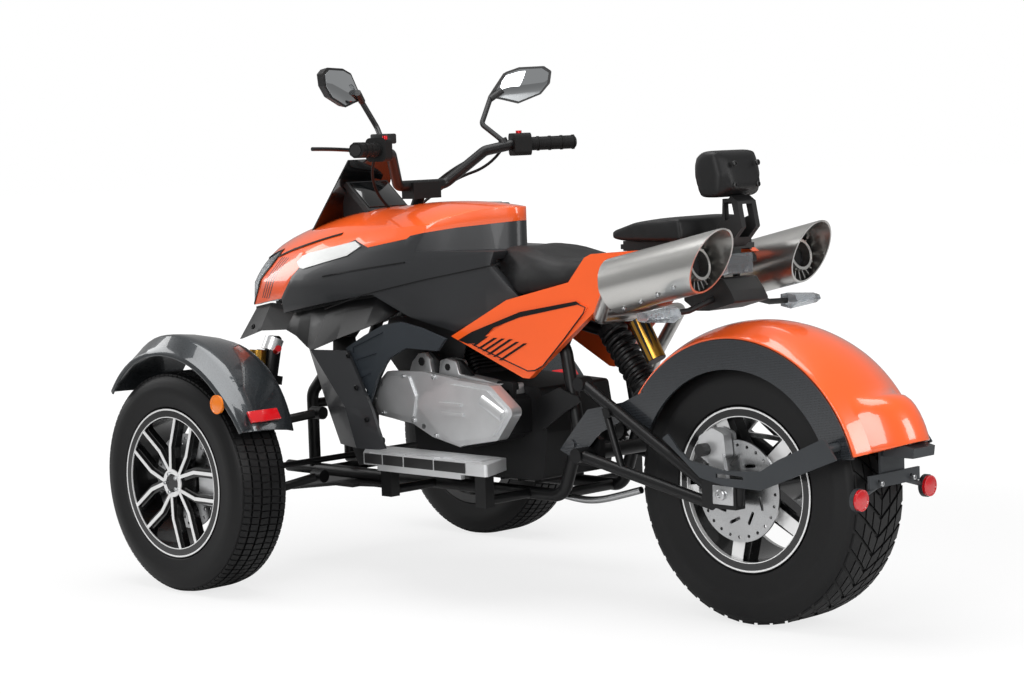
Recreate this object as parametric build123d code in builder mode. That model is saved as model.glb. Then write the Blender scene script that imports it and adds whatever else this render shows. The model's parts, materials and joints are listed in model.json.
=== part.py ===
from build123d import *
import os
from math import cos, sin, tan, radians

os.makedirs("parts", exist_ok=True)

# Three-wheeled sports roadster: two steered wheels in front, one driven wheel behind.
# Millimetres, +X forward, +Y left, +Z up, floor at Z = 0, X = 0 at mid-length.

# ---------------------------------------------------------------- driving dimensions
WHEELBASE = 1470
REAR_AXLE_X = -650
FRONT_AXLE_X = REAR_AXLE_X + WHEELBASE
FRONT_WHEEL_Y = 539

REAR_TYRE_R = 321
REAR_TYRE_HALF = 102
REAR_RIM_HALF = 96
FRONT_TYRE_R = 286
FRONT_TYRE_HALF = 82
FRONT_RIM_HALF = 77

RIM_FLANGE_R = 194
RIM_BARREL_R = 178
RIM_WALL = 8
FLANGE_WALL = 7
SEAT_GAP = 0.3

KINGPIN_Y = 455
KINGPIN_LOW_Z = 205
KINGPIN_TOP_Z = 395
STEER_ARM_BACK = 110
STEER_ARM_OUT = 25
TIE_ROD_Z = 330
TIE_ROD_R = 8

RAKE = 28
HEAD_X = 500
HEAD_Z = 1010
LINK_X = FRONT_AXLE_X
U_JOINT_Z = HEAD_Z - (LINK_X - HEAD_X) / tan(radians(RAKE))

SWINGARM_Y = 158
SWINGARM_TUBE_R = 14
PIVOT_TUBE_R = 18
REAR_DISC_Y = 113
REAR_DISC_R = 119
FRONT_DISC_Y = 565
FRONT_DISC_R = 123
DISC_WALL = 5
SPROCKET_Y = -133
SPROCKET_WALL = 5
SPROCKET_R = 78
SPROCKET_TEETH = 32
DRIVE_SPROCKET_R = 34
DRIVE_TEETH = 14
DRIVE_X = -60
DRIVE_Z = 400

REAR_AXLE_R = 10
SPINDLE_R = 14

FRAME_TUBE_R = 16
BODY_WALL = 20

REAR_HUB = (REAR_AXLE_X, 0, REAR_TYRE_R)
FRONT_HUB = (FRONT_AXLE_X, FRONT_WHEEL_Y, FRONT_TYRE_R)


# ---------------------------------------------------------------- shared operations
def rod(start, end, radius, mode=Mode.ADD):
    """Straight round bar from one point to another."""
    line = Vector(*end) - Vector(*start)
    with BuildSketch(Plane(origin=start, z_dir=line)) as section:
        Circle(radius)
    extrude(section.sketch, amount=line.length, mode=mode)


def bent_tube(points, bend, radius, mode=Mode.ADD):
    """Round tube along straight runs joined by tangent arcs."""
    first = Vector(*points[1]) - Vector(*points[0])
    with BuildLine() as route:
        FilletPolyline(*points, radius=bend)
    with BuildSketch(Plane(origin=points[0], z_dir=first)) as section:
        Circle(radius)
    sweep(section.sketch, path=route.line, mode=mode)


def side_plate(outline, y_low, y_high, corner=0, mode=Mode.ADD):
    """Plate of an XZ outline that fills the space between two Y positions."""
    with BuildSketch(Plane.XZ.offset(-y_high)) as section:
        with BuildLine():
            Polyline(*outline, close=True)
        make_face()
        if corner:
            fillet(section.vertices(), corner)
    extrude(section.sketch, amount=y_high - y_low, mode=mode)


def plan_plate(outline, z_low, z_high, corner=0, mode=Mode.ADD):
    """Plate of an XY outline that fills the space between two heights."""
    with BuildSketch(Plane.XY.offset(z_low)) as section:
        with BuildLine():
            Polyline(*outline, close=True)
        make_face()
        if corner:
            fillet(section.vertices(), corner)
    extrude(section.sketch, amount=z_high - z_low, mode=mode)


def cross_plate(outline, x_low, x_high, corner=0, mode=Mode.ADD):
    """Plate of a YZ outline that fills the space between two X positions."""
    with BuildSketch(Plane.YZ.offset(x_low)) as section:
        with BuildLine():
            Polyline(*outline, close=True)
        make_face()
        if corner:
            fillet(section.vertices(), corner)
    extrude(section.sketch, amount=x_high - x_low, mode=mode)


def box(low, high, mode=Mode.ADD):
    """Block between its lowest and its highest corner."""
    x0, y0, z0 = low
    x1, y1, z1 = high
    plan_plate([(x0, y0), (x1, y0), (x1, y1), (x0, y1)], z0, z1, mode=mode)


def wheel_plane(hub):
    """Half-section plane of a wheel: local X runs across, local Y is the radius."""
    return Plane(origin=hub, x_dir=(0, 1, 0), z_dir=(1, 0, 0))


def turned(hub, outline):
    """Ring or disc turned about a wheel's axle from (across, radius) corners."""
    with BuildSketch(wheel_plane(hub)) as section:
        with BuildLine():
            Polyline(*outline, close=True)
        make_face()
    revolve(section.sketch, axis=Axis(hub, (0, 1, 0)))


def tyre_ring(hub, radius, half, rim_half):
    """Road tyre: flat tread, sloped shoulders and walls that narrow down to the beads."""
    bead_y = rim_half - FLANGE_WALL - SEAT_GAP
    bead_r = RIM_BARREL_R + SEAT_GAP
    lip_r = RIM_FLANGE_R + 3
    wall_r = (radius + lip_r) / 2 + 4
    tread_y = half * 0.82
    right_side = [(bead_y, bead_r), (bead_y, lip_r), (half, wall_r), (tread_y, radius)]
    turned(hub, right_side + [(-y, r) for y, r in reversed(right_side)])


def rim_barrel(hub, half):
    """Wheel barrel with a flange at each edge."""
    inner = RIM_BARREL_R - RIM_WALL
    turned(hub, [
        (-half, inner), (-half, RIM_FLANGE_R), (-half + FLANGE_WALL, RIM_FLANGE_R),
        (-half + FLANGE_WALL, RIM_BARREL_R), (half - FLANGE_WALL, RIM_BARREL_R),
        (half - FLANGE_WALL, RIM_FLANGE_R), (half, RIM_FLANGE_R), (half, inner),
    ])


def ring(hub_x, hub_z, y_low, y_high, outer, inner, mode=Mode.ADD):
    """Flat ring about a Y axis."""
    with BuildSketch(Plane.XZ.offset(-y_high)) as section:
        with Locations((hub_x, hub_z)):
            Circle(outer)
            Circle(inner, mode=Mode.SUBTRACT)
    extrude(section.sketch, amount=y_high - y_low, mode=mode)


def polar(hub_x, hub_z, radius, angle):
    """Point (x, z) at a radius and an angle from +X about a wheel's centre."""
    return (hub_x + radius * cos(radians(angle)), hub_z + radius * sin(radians(angle)))


def drill(hub_x, hub_z, y_low, y_high, radius, pitch_r, start, count):
    """Circle of through holes about a Y axis."""
    with BuildSketch(Plane.XZ.offset(-y_high)) as section:
        with Locations((hub_x, hub_z)):
            with PolarLocations(pitch_r, count, start_angle=start):
                Circle(radius)
    extrude(section.sketch, amount=y_high - y_low, mode=Mode.SUBTRACT)


def axis_point(distance, side=0):
    """Point on the steering axis, at a distance down from the handlebar head."""
    return (HEAD_X + distance * sin(radians(RAKE)), side, HEAD_Z - distance * cos(radians(RAKE)))


def spoke(hub, turn, root_half, tip_half, face_y, depth):
    """Tapered spoke from the hub to the barrel, with its face at one Y."""
    with BuildSketch(Plane.XZ.offset(-face_y)) as section:
        with BuildLine(Location((hub[0], hub[2]), turn)):
            Polyline((30, -root_half), (RIM_BARREL_R - 2, -tip_half), (RIM_BARREL_R - 2, tip_half),
                     (30, root_half), close=True)
        make_face()
    extrude(section.sketch, amount=depth)


def toothed_disc(centre, radius, teeth, y_low, y_high, bore):
    """Sprocket: a disc with pointed teeth and a bore."""
    with BuildSketch(Plane.XZ.offset(-y_high)) as section:
        with Locations(centre):
            Circle(radius - 7)
            with PolarLocations(radius - 8, teeth):
                Polygon((0, -5.5), (8, -1.5), (8, 1.5), (0, 5.5), align=None)
            if bore:
                Circle(bore, mode=Mode.SUBTRACT)
    extrude(section.sketch, amount=y_high - y_low)


def coil_stack(start, end, radius, wire, coils):
    """Spring drawn as a stack of closed coils on its damper."""
    line = Vector(*end) - Vector(*start)
    pitch = line / coils
    for number in range(coils):
        low = Vector(*start) + pitch * number
        rod(tuple(low), tuple(low + pitch * (wire / pitch.length)), radius)


# ---------------------------------------------------------------- rear wheel
with BuildPart() as rear_tyre:
    tyre_ring(REAR_HUB, REAR_TYRE_R, REAR_TYRE_HALF, REAR_RIM_HALF)
rear_tyre.part.label = "rear_tyre"

REAR_SPOKES = 5
REAR_SPOKE_START = -6.6
# Spoke levels: half width at the hub, half width at the barrel, set-back from the rim's edge, depth.
REAR_SPOKE_LEVELS = ((18, 17, 10, 14), (32, 26, 22, 34))
REAR_HUB_R = 48
REAR_BOSS_R = 40

with BuildPart() as rear_rim:
    rim_barrel(REAR_HUB, REAR_RIM_HALF)
    for number in range(REAR_SPOKES):
        turn = REAR_SPOKE_START + number * 360 / REAR_SPOKES
        for root_half, tip_half, set_back, depth in REAR_SPOKE_LEVELS:
            spoke(REAR_HUB, turn, root_half, tip_half, REAR_RIM_HALF - set_back, depth)
    ring(REAR_AXLE_X, REAR_TYRE_R, -REAR_RIM_HALF, REAR_RIM_HALF, REAR_HUB_R, REAR_AXLE_R + SEAT_GAP)
    ring(REAR_AXLE_X, REAR_TYRE_R, REAR_RIM_HALF, REAR_DISC_Y - DISC_WALL / 2, REAR_BOSS_R, REAR_AXLE_R + SEAT_GAP)
    ring(REAR_AXLE_X, REAR_TYRE_R, SPROCKET_Y + SPROCKET_WALL / 2, -REAR_RIM_HALF, REAR_BOSS_R,
         REAR_AXLE_R + SEAT_GAP)
rear_rim.part.label = "rear_rim"

DISC_HOLE_R = 4
# Curved vents of the rear disc: pitch radius, count, length, width, slant.
REAR_DISC_VENT = (70, 9, 34, 8, 55)
with BuildPart() as rear_disc:
    ring(REAR_AXLE_X, REAR_TYRE_R, REAR_DISC_Y - DISC_WALL / 2, REAR_DISC_Y + DISC_WALL / 2,
         REAR_DISC_R, REAR_AXLE_R + SEAT_GAP)
    drill(REAR_AXLE_X, REAR_TYRE_R, REAR_DISC_Y - DISC_WALL, REAR_DISC_Y + DISC_WALL, DISC_HOLE_R,
          REAR_DISC_R - 12, 0, 24)
    with BuildSketch(Plane.XZ.offset(-(REAR_DISC_Y + DISC_WALL))) as vents:
        with Locations((REAR_AXLE_X, REAR_TYRE_R)):
            pitch_r, count, length, width, slant = REAR_DISC_VENT
            with PolarLocations(pitch_r, count):
                SlotOverall(length, width, rotation=slant)
    extrude(vents.sketch, amount=2 * DISC_WALL, mode=Mode.SUBTRACT)
rear_disc.part.label = "rear_disc"

with BuildPart() as rear_sprocket:
    toothed_disc((REAR_AXLE_X, REAR_TYRE_R), SPROCKET_R, SPROCKET_TEETH, SPROCKET_Y - SPROCKET_WALL / 2,
                 SPROCKET_Y + SPROCKET_WALL / 2, REAR_AXLE_R + SEAT_GAP)
    drill(REAR_AXLE_X, REAR_TYRE_R, SPROCKET_Y - SPROCKET_WALL, SPROCKET_Y + SPROCKET_WALL, 8, SPROCKET_R - 24, 0, 6)
rear_sprocket.part.label = "rear_sprocket"

# ---------------------------------------------------------------- front wheels
FRONT_SPOKE_PAIRS = 5
FRONT_PAIR_START = 36
RIB_OFFSET = 34
RIB_KINK_R = 88
# Rib levels: width, set-back from the face, depth.
RIB_LEVELS = ((9, 0, 12), (24, 7, 19))
RIB_DEPTH = 26
FRONT_HUB_R = 36
FRONT_FACE_Y = FRONT_WHEEL_Y + FRONT_RIM_HALF - 2

with BuildPart() as front_tyre_left:
    tyre_ring(FRONT_HUB, FRONT_TYRE_R, FRONT_TYRE_HALF, FRONT_RIM_HALF)
front_tyre_left.part.label = "front_tyre_left"

with BuildPart() as front_rim_left:
    rim_barrel(FRONT_HUB, FRONT_RIM_HALF)
    for number in range(FRONT_SPOKE_PAIRS):
        turn = FRONT_PAIR_START + number * 360 / FRONT_SPOKE_PAIRS
        for hand in (1, -1):
            for width, set_back, depth in RIB_LEVELS:
                with BuildSketch(Plane.XZ.offset(-(FRONT_FACE_Y - set_back))) as rib:
                    with BuildLine(Location((FRONT_AXLE_X, FRONT_TYRE_R), turn)):
                        Polyline((24, hand * 16), (RIB_KINK_R, hand * RIB_OFFSET),
                                 (RIM_BARREL_R - 6, hand * RIB_OFFSET))
                    trace(line_width=width)
                extrude(rib.sketch, amount=depth)
    ring(FRONT_AXLE_X, FRONT_TYRE_R, FRONT_DISC_Y + DISC_WALL / 2, FRONT_FACE_Y, FRONT_HUB_R, SPINDLE_R + SEAT_GAP)
    ring(FRONT_AXLE_X, FRONT_TYRE_R, FRONT_FACE_Y - RIB_DEPTH - 14, FRONT_FACE_Y - RIB_DEPTH + 2, 64,
         SPINDLE_R + SEAT_GAP)
    with BuildSketch(Plane.XZ.offset(-(FRONT_FACE_Y + 2))) as cap:
        with Locations((FRONT_AXLE_X, FRONT_TYRE_R)):
            Circle(FRONT_HUB_R)
    extrude(cap.sketch, amount=8)
front_rim_left.part.label = "front_rim_left"

with BuildPart() as front_disc_left:
    ring(FRONT_AXLE_X, FRONT_TYRE_R, FRONT_DISC_Y - DISC_WALL / 2, FRONT_DISC_Y + DISC_WALL / 2,
         FRONT_DISC_R, SPINDLE_R + SEAT_GAP)
    for pitch_r, start in ((FRONT_DISC_R - 12, 0), (FRONT_DISC_R - 26, 9)):
        drill(FRONT_AXLE_X, FRONT_TYRE_R, FRONT_DISC_Y - DISC_WALL, FRONT_DISC_Y + DISC_WALL, DISC_HOLE_R, pitch_r,
              start, 20)
front_disc_left.part.label = "front_disc_left"

# ---------------------------------------------------------------- front suspension
ARM_INNER_Y = 205
LOW_ARM_INNER_Z = 262
TOP_ARM_INNER_Z = 432
LOW_ARM_SPREAD = 105
TOP_ARM_SPREAD = 110
ARM_TUBE_R = 12
KINGPIN_R = 14
EYE_R = 25
EYE_HEIGHT = 20
SHOCK_FOOT_Y = 340
SHOCK_FOOT_Z = 231

with BuildPart() as wishbones:
    for inner_z, outer_z, spread in (
        (LOW_ARM_INNER_Z, KINGPIN_LOW_Z, LOW_ARM_SPREAD),
        (TOP_ARM_INNER_Z, KINGPIN_TOP_Z, TOP_ARM_SPREAD),
    ):
        for hand in (1, -1):
            pivot_x = FRONT_AXLE_X + hand * spread
            rod((pivot_x, ARM_INNER_Y, inner_z), (FRONT_AXLE_X, KINGPIN_Y, outer_z), ARM_TUBE_R)
            rod((pivot_x - 20, ARM_INNER_Y, inner_z), (pivot_x + 20, ARM_INNER_Y, inner_z), ARM_TUBE_R + 5)
        with Locations((FRONT_AXLE_X, KINGPIN_Y, outer_z)):
            Cylinder(EYE_R, EYE_HEIGHT)
        with Locations((FRONT_AXLE_X, KINGPIN_Y, outer_z)):
            Cylinder(KINGPIN_R + SEAT_GAP, 4 * EYE_HEIGHT, mode=Mode.SUBTRACT)
    rod((FRONT_AXLE_X - 50, SHOCK_FOOT_Y, SHOCK_FOOT_Z), (FRONT_AXLE_X + 50, SHOCK_FOOT_Y, SHOCK_FOOT_Z), 9)
    mirror(about=Plane.XZ)
wishbones.part.label = "wishbones"

STAY_Y = 437
BRACKET_TOP_Z = 424
with BuildPart() as knuckle_left:
    rod((FRONT_AXLE_X, KINGPIN_Y, KINGPIN_LOW_Z - 14), (FRONT_AXLE_X, KINGPIN_Y, BRACKET_TOP_Z - 4), KINGPIN_R)
    box((FRONT_AXLE_X - 20, STAY_Y - 9, BRACKET_TOP_Z - 12), (FRONT_AXLE_X + 20, KINGPIN_Y, BRACKET_TOP_Z))
    box((FRONT_AXLE_X - 28, KINGPIN_Y + 5, KINGPIN_LOW_Z + 14), (FRONT_AXLE_X + 28, KINGPIN_Y + 35, KINGPIN_TOP_Z - 14))
    with BuildSketch(Plane.XZ.offset(-(KINGPIN_Y + 20))) as carrier:
        with Locations((FRONT_AXLE_X, FRONT_TYRE_R)):
            Circle(52)
    extrude(carrier.sketch, amount=-40)
    rod((FRONT_AXLE_X, KINGPIN_Y + 30, FRONT_TYRE_R), (FRONT_AXLE_X, FRONT_FACE_Y - 10, FRONT_TYRE_R), SPINDLE_R)
    rod((FRONT_AXLE_X, KINGPIN_Y + 8, TIE_ROD_Z),
        (FRONT_AXLE_X - STEER_ARM_BACK, KINGPIN_Y + STEER_ARM_OUT, TIE_ROD_Z), 11)
knuckle_left.part.label = "knuckle_left"

CALIPER_GAP = 5
with BuildPart() as front_caliper_left:
    CAL_X = FRONT_AXLE_X - 102
    for y_low, y_high in ((FRONT_DISC_Y + DISC_WALL / 2 + CALIPER_GAP, FRONT_DISC_Y + 18),
                          (FRONT_DISC_Y - 44, FRONT_DISC_Y - DISC_WALL / 2 - CALIPER_GAP)):
        with BuildSketch(Plane.XZ.offset(-y_high)) as half:
            with Locations((CAL_X, FRONT_TYRE_R - 6)):
                RectangleRounded(64, 96, 20)
        extrude(half.sketch, amount=y_high - y_low)
    box((CAL_X - 32, FRONT_DISC_Y - 30, FRONT_TYRE_R - 34), (CAL_X - 27, FRONT_DISC_Y + 18, FRONT_TYRE_R + 22))
    box((CAL_X + 20, FRONT_DISC_Y - 44, FRONT_TYRE_R - 30), (FRONT_AXLE_X - 45, FRONT_DISC_Y - 34, FRONT_TYRE_R + 14))
    rod((FRONT_AXLE_X - 40, FRONT_DISC_Y - 50 + SEAT_GAP, FRONT_TYRE_R), (FRONT_AXLE_X - 40, FRONT_DISC_Y - 34, FRONT_TYRE_R), 9)
front_caliper_left.part.label = "front_caliper_left"

# Fender sections by angle about the front axle, as gaps over the tyre: crown, lip and inner edge.
FENDER_SECTIONS = (
    (46, 34, 20, 8), (62, 70, 36, 44), (80, 94, 44, 68), (102, 94, 44, 68), (118, 80, 42, 60), (134, 70, 40, 46),
    (154, 62, 52, 20),
)
FENDER_INNER_Y = 432
FENDER_CREASE_Y = 592
FENDER_OUTER_Y = 640
FENDER_WALL = 5

with BuildPart() as front_fender_left:
    rings = []
    for angle, crown_gap, lip_gap, inner_gap in FENDER_SECTIONS:
        crown = FRONT_TYRE_R + crown_gap
        lip = FRONT_TYRE_R + lip_gap
        inner = FRONT_TYRE_R + inner_gap
        out = Vector(cos(radians(angle)), 0, sin(radians(angle)))
        cut = Plane(origin=(FRONT_AXLE_X, 0, FRONT_TYRE_R), x_dir=(0, 1, 0), z_dir=Vector(0, 1, 0).cross(out))
        with BuildSketch(cut) as section:
            with BuildLine():
                Polyline(
                    (FENDER_INNER_Y, inner), (FENDER_CREASE_Y, crown), (FENDER_OUTER_Y, lip + 12),
                    (FENDER_OUTER_Y, lip), (FENDER_OUTER_Y - FENDER_WALL, lip),
                    (FENDER_OUTER_Y - FENDER_WALL, lip + 9), (FENDER_CREASE_Y - 3, crown - FENDER_WALL - 1),
                    (FENDER_INNER_Y, inner - FENDER_WALL), close=True,
                )
            make_face()
        rings.append(section.sketch)
    loft(rings, ruled=True)
    for angle in (66, 118):
        foot = polar(FRONT_AXLE_X, FRONT_TYRE_R, 328, angle)
        rod((FRONT_AXLE_X, STAY_Y, BRACKET_TOP_Z + 12), (foot[0], STAY_Y, foot[1]), 7)
    box((FRONT_AXLE_X - 20, STAY_Y - 9, BRACKET_TOP_Z + SEAT_GAP), (FRONT_AXLE_X + 20, STAY_Y + 9, BRACKET_TOP_Z + 12))
front_fender_left.part.label = "front_fender_left"

# ---------------------------------------------------------------- mirrored front pieces
for left in (front_tyre_left, front_rim_left, front_disc_left, knuckle_left, front_caliper_left, front_fender_left):
    with BuildPart() as right:
        mirror(left.part, about=Plane.XZ)
    right.part.label = left.part.label.replace("left", "right")
    export_step(left.part, f"parts/{left.part.label}.step")
    export_step(right.part, f"parts/{right.part.label}.step")

SHOCK_TOP = (FRONT_AXLE_X - 8, 262, 625)
with BuildPart() as front_shocks:
    foot = (FRONT_AXLE_X, SHOCK_FOOT_Y, SHOCK_FOOT_Z + 9 + SEAT_GAP + 13)
    axis = Vector(*SHOCK_TOP) - Vector(*foot)
    def along(share):
        return tuple(Vector(*foot) + axis * share)
    rod(along(0), along(0.45), 9)
    rod(along(0.42), along(0.95), 22)
    rod(along(0.04), along(0.08), 34)
    coil_stack(along(0.1), along(0.7), 34, 9, 8)
    rod(along(0.7), along(0.76), 36)
    rod((foot[0] - 14, foot[1], foot[2]), (foot[0] + 14, foot[1], foot[2]), 13)
    rod((SHOCK_TOP[0] - 16, SHOCK_TOP[1], SHOCK_TOP[2]), (SHOCK_TOP[0] + 16, SHOCK_TOP[1], SHOCK_TOP[2]), 14)
    rod((SHOCK_TOP[0] + 5, SHOCK_TOP[1] + 62, SHOCK_TOP[2] - 90), (SHOCK_TOP[0] + 5, SHOCK_TOP[1] + 52, SHOCK_TOP[2] - 20), 22)
    rod(along(0.9), (SHOCK_TOP[0] + 5, SHOCK_TOP[1] + 54, SHOCK_TOP[2] - 30), 12)
    mirror(about=Plane.XZ)
front_shocks.part.label = "front_shocks"

# ---------------------------------------------------------------- steering
LINK_TOP_Z = U_JOINT_Z - 22
LINK_FOOT_Z = 262
with BuildPart() as steering_link:
    rod((LINK_X, 0, LINK_FOOT_Z + FRAME_TUBE_R + SEAT_GAP), (LINK_X, 0, LINK_TOP_Z), 15)
    for hand in (1, -1):
        rod((LINK_X, 0, TIE_ROD_Z), (LINK_X - STEER_ARM_BACK, hand * STEER_ARM_OUT, TIE_ROD_Z), 10)
steering_link.part.label = "steering_link"

TIE_END_DROP = 24
for side, hand in (("left", 1), ("right", -1)):
    with BuildPart() as tie_rod:
        arm_x = LINK_X - STEER_ARM_BACK
        inner_y = hand * STEER_ARM_OUT
        outer_y = hand * (KINGPIN_Y + STEER_ARM_OUT)
        rod((arm_x, inner_y, TIE_ROD_Z - TIE_END_DROP), (arm_x, outer_y, TIE_ROD_Z - TIE_END_DROP), TIE_ROD_R)
        for end_y in (inner_y, outer_y):
            rod((arm_x, end_y, TIE_ROD_Z - TIE_END_DROP), (arm_x, end_y, TIE_ROD_Z - 11 - SEAT_GAP), 7)
    tie_rod.part.label = f"tie_rod_{side}"
    export_step(tie_rod.part, f"parts/{tie_rod.part.label}.step")

BAR_R = 14
BAR_CLAMP_X = 496
GRIP_Y = 398
GRIP_X = 309
GRIP_Z = 1128
with BuildPart() as handlebar:
    rod(axis_point(-10), axis_point((HEAD_Z - LINK_TOP_Z) / cos(radians(RAKE)) - 24), 15)
    bar_route = [
        (BAR_CLAMP_X, 0, 1028), (BAR_CLAMP_X, 85, 1028), (BAR_CLAMP_X - 70, 170, 1112), (BAR_CLAMP_X - 108, 235, 1126),
        (GRIP_X, GRIP_Y, GRIP_Z),
    ]
    bent_tube(bar_route, 30, BAR_R)
    bent_tube([(x, -y, z) for x, y, z in bar_route], 30, BAR_R)
    box((BAR_CLAMP_X - 22, -50, 993), (BAR_CLAMP_X + 24, 50, 1036))
handlebar.part.label = "handlebar"
export_step(handlebar.part, "parts/handlebar.step")

GRIP_R = 18
grip_run = Vector(GRIP_X, GRIP_Y, GRIP_Z) - Vector(BAR_CLAMP_X - 108, 235, 1126)
with BuildPart() as controls:
    with BuildSketch(Plane(origin=tuple(Vector(GRIP_X, GRIP_Y, GRIP_Z) - grip_run * 0.74), z_dir=grip_run)) as grip:
        Circle(GRIP_R)
        Circle(BAR_R + SEAT_GAP, mode=Mode.SUBTRACT)
    extrude(grip.sketch, amount=grip_run.length * 0.72)
    with BuildSketch(Plane(origin=tuple(Vector(GRIP_X, GRIP_Y, GRIP_Z) - grip_run * 1.0), z_dir=grip_run)) as housing:
        RectangleRounded(54, 60, 12)
        Circle(BAR_R + SEAT_GAP, mode=Mode.SUBTRACT)
    extrude(housing.sketch, amount=grip_run.length * 0.26)
    mirror(about=Plane.XZ)
controls.part.label = "controls"
export_step(controls.part, "parts/controls.step")

MIRROR_X = 430
MIRROR_Y = 330
MIRROR_Z = 1285
MIRROR_TURN = 18
MIRROR_OUTLINE = [(-106, -31), (-53, 36), (-12, 48), (65, 50), (88, 36), (82, 3), (53, -26), (-18, -50), (-65, -39)]
with BuildPart() as mirrors:
    turn = radians(MIRROR_TURN)
    with BuildSketch(Plane(origin=(MIRROR_X, MIRROR_Y, MIRROR_Z), x_dir=(-sin(turn), cos(turn), 0),
                           z_dir=(cos(turn), sin(turn), 0))) as head:
        with BuildLine():
            Polyline(*MIRROR_OUTLINE, close=True)
        make_face()
        fillet(head.vertices(), 6)
    extrude(head.sketch, amount=20, taper=12)
    bent_tube([(402, 216, 1136), (455, 190, 1183), (463, 237, 1256)], 14, 7)
    rod((461, 233, 1250), (444, 262, 1272), 9)
    rod((397, 219, 1124), (404, 215, 1142), 12)
    mirror(about=Plane.XZ)
    add(handlebar.part, mode=Mode.SUBTRACT)
    add(controls.part, mode=Mode.SUBTRACT)
mirrors.part.label = "mirrors"
export_step(mirrors.part, "parts/mirrors.step")

# ---------------------------------------------------------------- body shell
# Stations: X, crown Z, shoulder Y and Z, waist Y and Z, sill Y and Z.
BODY_STATIONS = (
    (15, 948, 112, 925, 132, 860, 120, 640),
    (170, 976, 150, 928, 172, 830, 178, 640),
    (340, 986, 185, 930, 222, 810, 225, 650),
    (520, 978, 205, 905, 250, 810, 250, 690),
    (720, 956, 205, 880, 256, 800, 255, 690),
    (950, 895, 150, 838, 205, 775, 210, 700),
    (1020, 850, 60, 800, 130, 745, 150, 700),
)
BODY_REAR_X = 33
BODY_FRONT_X = 1000


def body_volume(inset):
    """Closed body form, drawn in by an inset so that two of them make a shell."""
    slices = []
    for x, crown_z, shoulder_y, shoulder_z, waist_y, waist_z, sill_y, sill_z in BODY_STATIONS:
        with BuildSketch(Plane(origin=(x, 0, 0), x_dir=(0, 1, 0), z_dir=(1, 0, 0))) as section:
            with BuildLine():
                right_side = [
                    (sill_y - inset, sill_z - (20 if inset else 0)), (waist_y - inset, waist_z),
                    (shoulder_y - inset, shoulder_z - inset * 0.7),
                ]
                Polyline(*right_side)
                ThreePointArc(right_side[-1], (0, crown_z - inset), (-right_side[-1][0], right_side[-1][1]))
                Polyline(*[(-y, z) for y, z in reversed(right_side)])
                Line((-right_side[0][0], right_side[0][1]), right_side[0])
            make_face()
        slices.append(section.sketch)
    loft(slices, ruled=True)


def panel(outline, reach=300):
    """Piece of the body shell inside an XZ outline."""
    add(body_outer.part)
    add(body_inner.part, mode=Mode.SUBTRACT)
    side_plate(outline, -reach, reach, mode=Mode.INTERSECT)


# Lines the panels share, as (X, Z) points.
COVER_LINE = [(0, 939), (95, 940), (240, 924), (339, 906), (349, 898), (473, 876), (530, 895), (709, 829)]
CHEEK_REAR = [(709, 829), (765, 770), (794, 738)]
CHEEK_FRONT = [(951, 714), (923, 752), (903, 785), (869, 821), (855, 849)]
COVER_FOOT = [(783, 700), (637, 726), (494, 750), (440, 756), (323, 700), (197, 665), (20, 749), (60, 790), (98, 832),
              (88, 868), (0, 885)]
LAMP_TOP = [(869, 862), (1030, 815)]
LAMP_Y = 75

with BuildPart() as body_outer:
    body_volume(0)
with BuildPart() as body_inner:
    body_volume(BODY_WALL)
    box((BODY_REAR_X, -400, 500), (BODY_FRONT_X, 400, 1100), mode=Mode.INTERSECT)

with BuildPart() as side_covers:
    panel(COVER_LINE + CHEEK_REAR[1:] + COVER_FOOT)
    box((BODY_REAR_X + 5, -90, 600), (1100, 90, 1100), mode=Mode.SUBTRACT)
side_covers.part.label = "side_covers"

with BuildPart() as nose:
    panel(CHEEK_REAR[::-1] + [(720, 862), (787, 869)] + CHEEK_FRONT[::-1])
nose.part.label = "nose"

with BuildPart() as top_cover:
    panel(COVER_LINE + [(720, 862), (787, 869), (855, 849)] + LAMP_TOP + [(1030, 1100), (0, 1100)])
    rod(axis_point(-200), axis_point(200), 40, mode=Mode.SUBTRACT)
top_cover.part.label = "top_cover"

with BuildPart() as headlamps:
    panel(CHEEK_FRONT + LAMP_TOP + [(1030, 714)])
    box((800, -LAMP_Y, 600), (1100, LAMP_Y, 1100), mode=Mode.SUBTRACT)
headlamps.part.label = "headlamps"

# Windscreen bands: Z, half width, X at the edge, X at the middle.
SCREEN_BANDS = ((900, 128, 806, 836), (1099, 84, 690, 706))
SCREEN_WALL = 5
with BuildPart() as windscreen:
    bands = []
    for z, half, edge_x, middle_x in SCREEN_BANDS:
        with BuildSketch(Plane.XY.offset(z)) as band:
            with BuildLine():
                ThreePointArc((edge_x, -half), (middle_x, 0), (edge_x, half))
                Line((edge_x, half), (edge_x - SCREEN_WALL, half))
                ThreePointArc((edge_x - SCREEN_WALL, half), (middle_x - SCREEN_WALL, 0), (edge_x - SCREEN_WALL, -half))
                Line((edge_x - SCREEN_WALL, -half), (edge_x, -half))
            make_face()
        bands.append(band.sketch)
    loft(bands, ruled=True)
    add(body_outer.part, mode=Mode.SUBTRACT)
windscreen.part.label = "windscreen"

DASH_HALF = 75
with BuildPart() as dash:
    side_plate([(600, 930), (742, 930), (742, 985), (728, 1020), (716, 1030), (632, 958)], -60, 60)
    side_plate([(622, 963), (712, 1040), (722, 1029), (632, 952)], -DASH_HALF, DASH_HALF)
    add(body_outer.part, mode=Mode.SUBTRACT)
dash.part.label = "dash"

# ---------------------------------------------------------------- leg shields and footboards
FOOTBOARD_Z = 335
FOOTBOARD_WALL = 30
SHIELD_TOP_Z = 611.7
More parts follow.
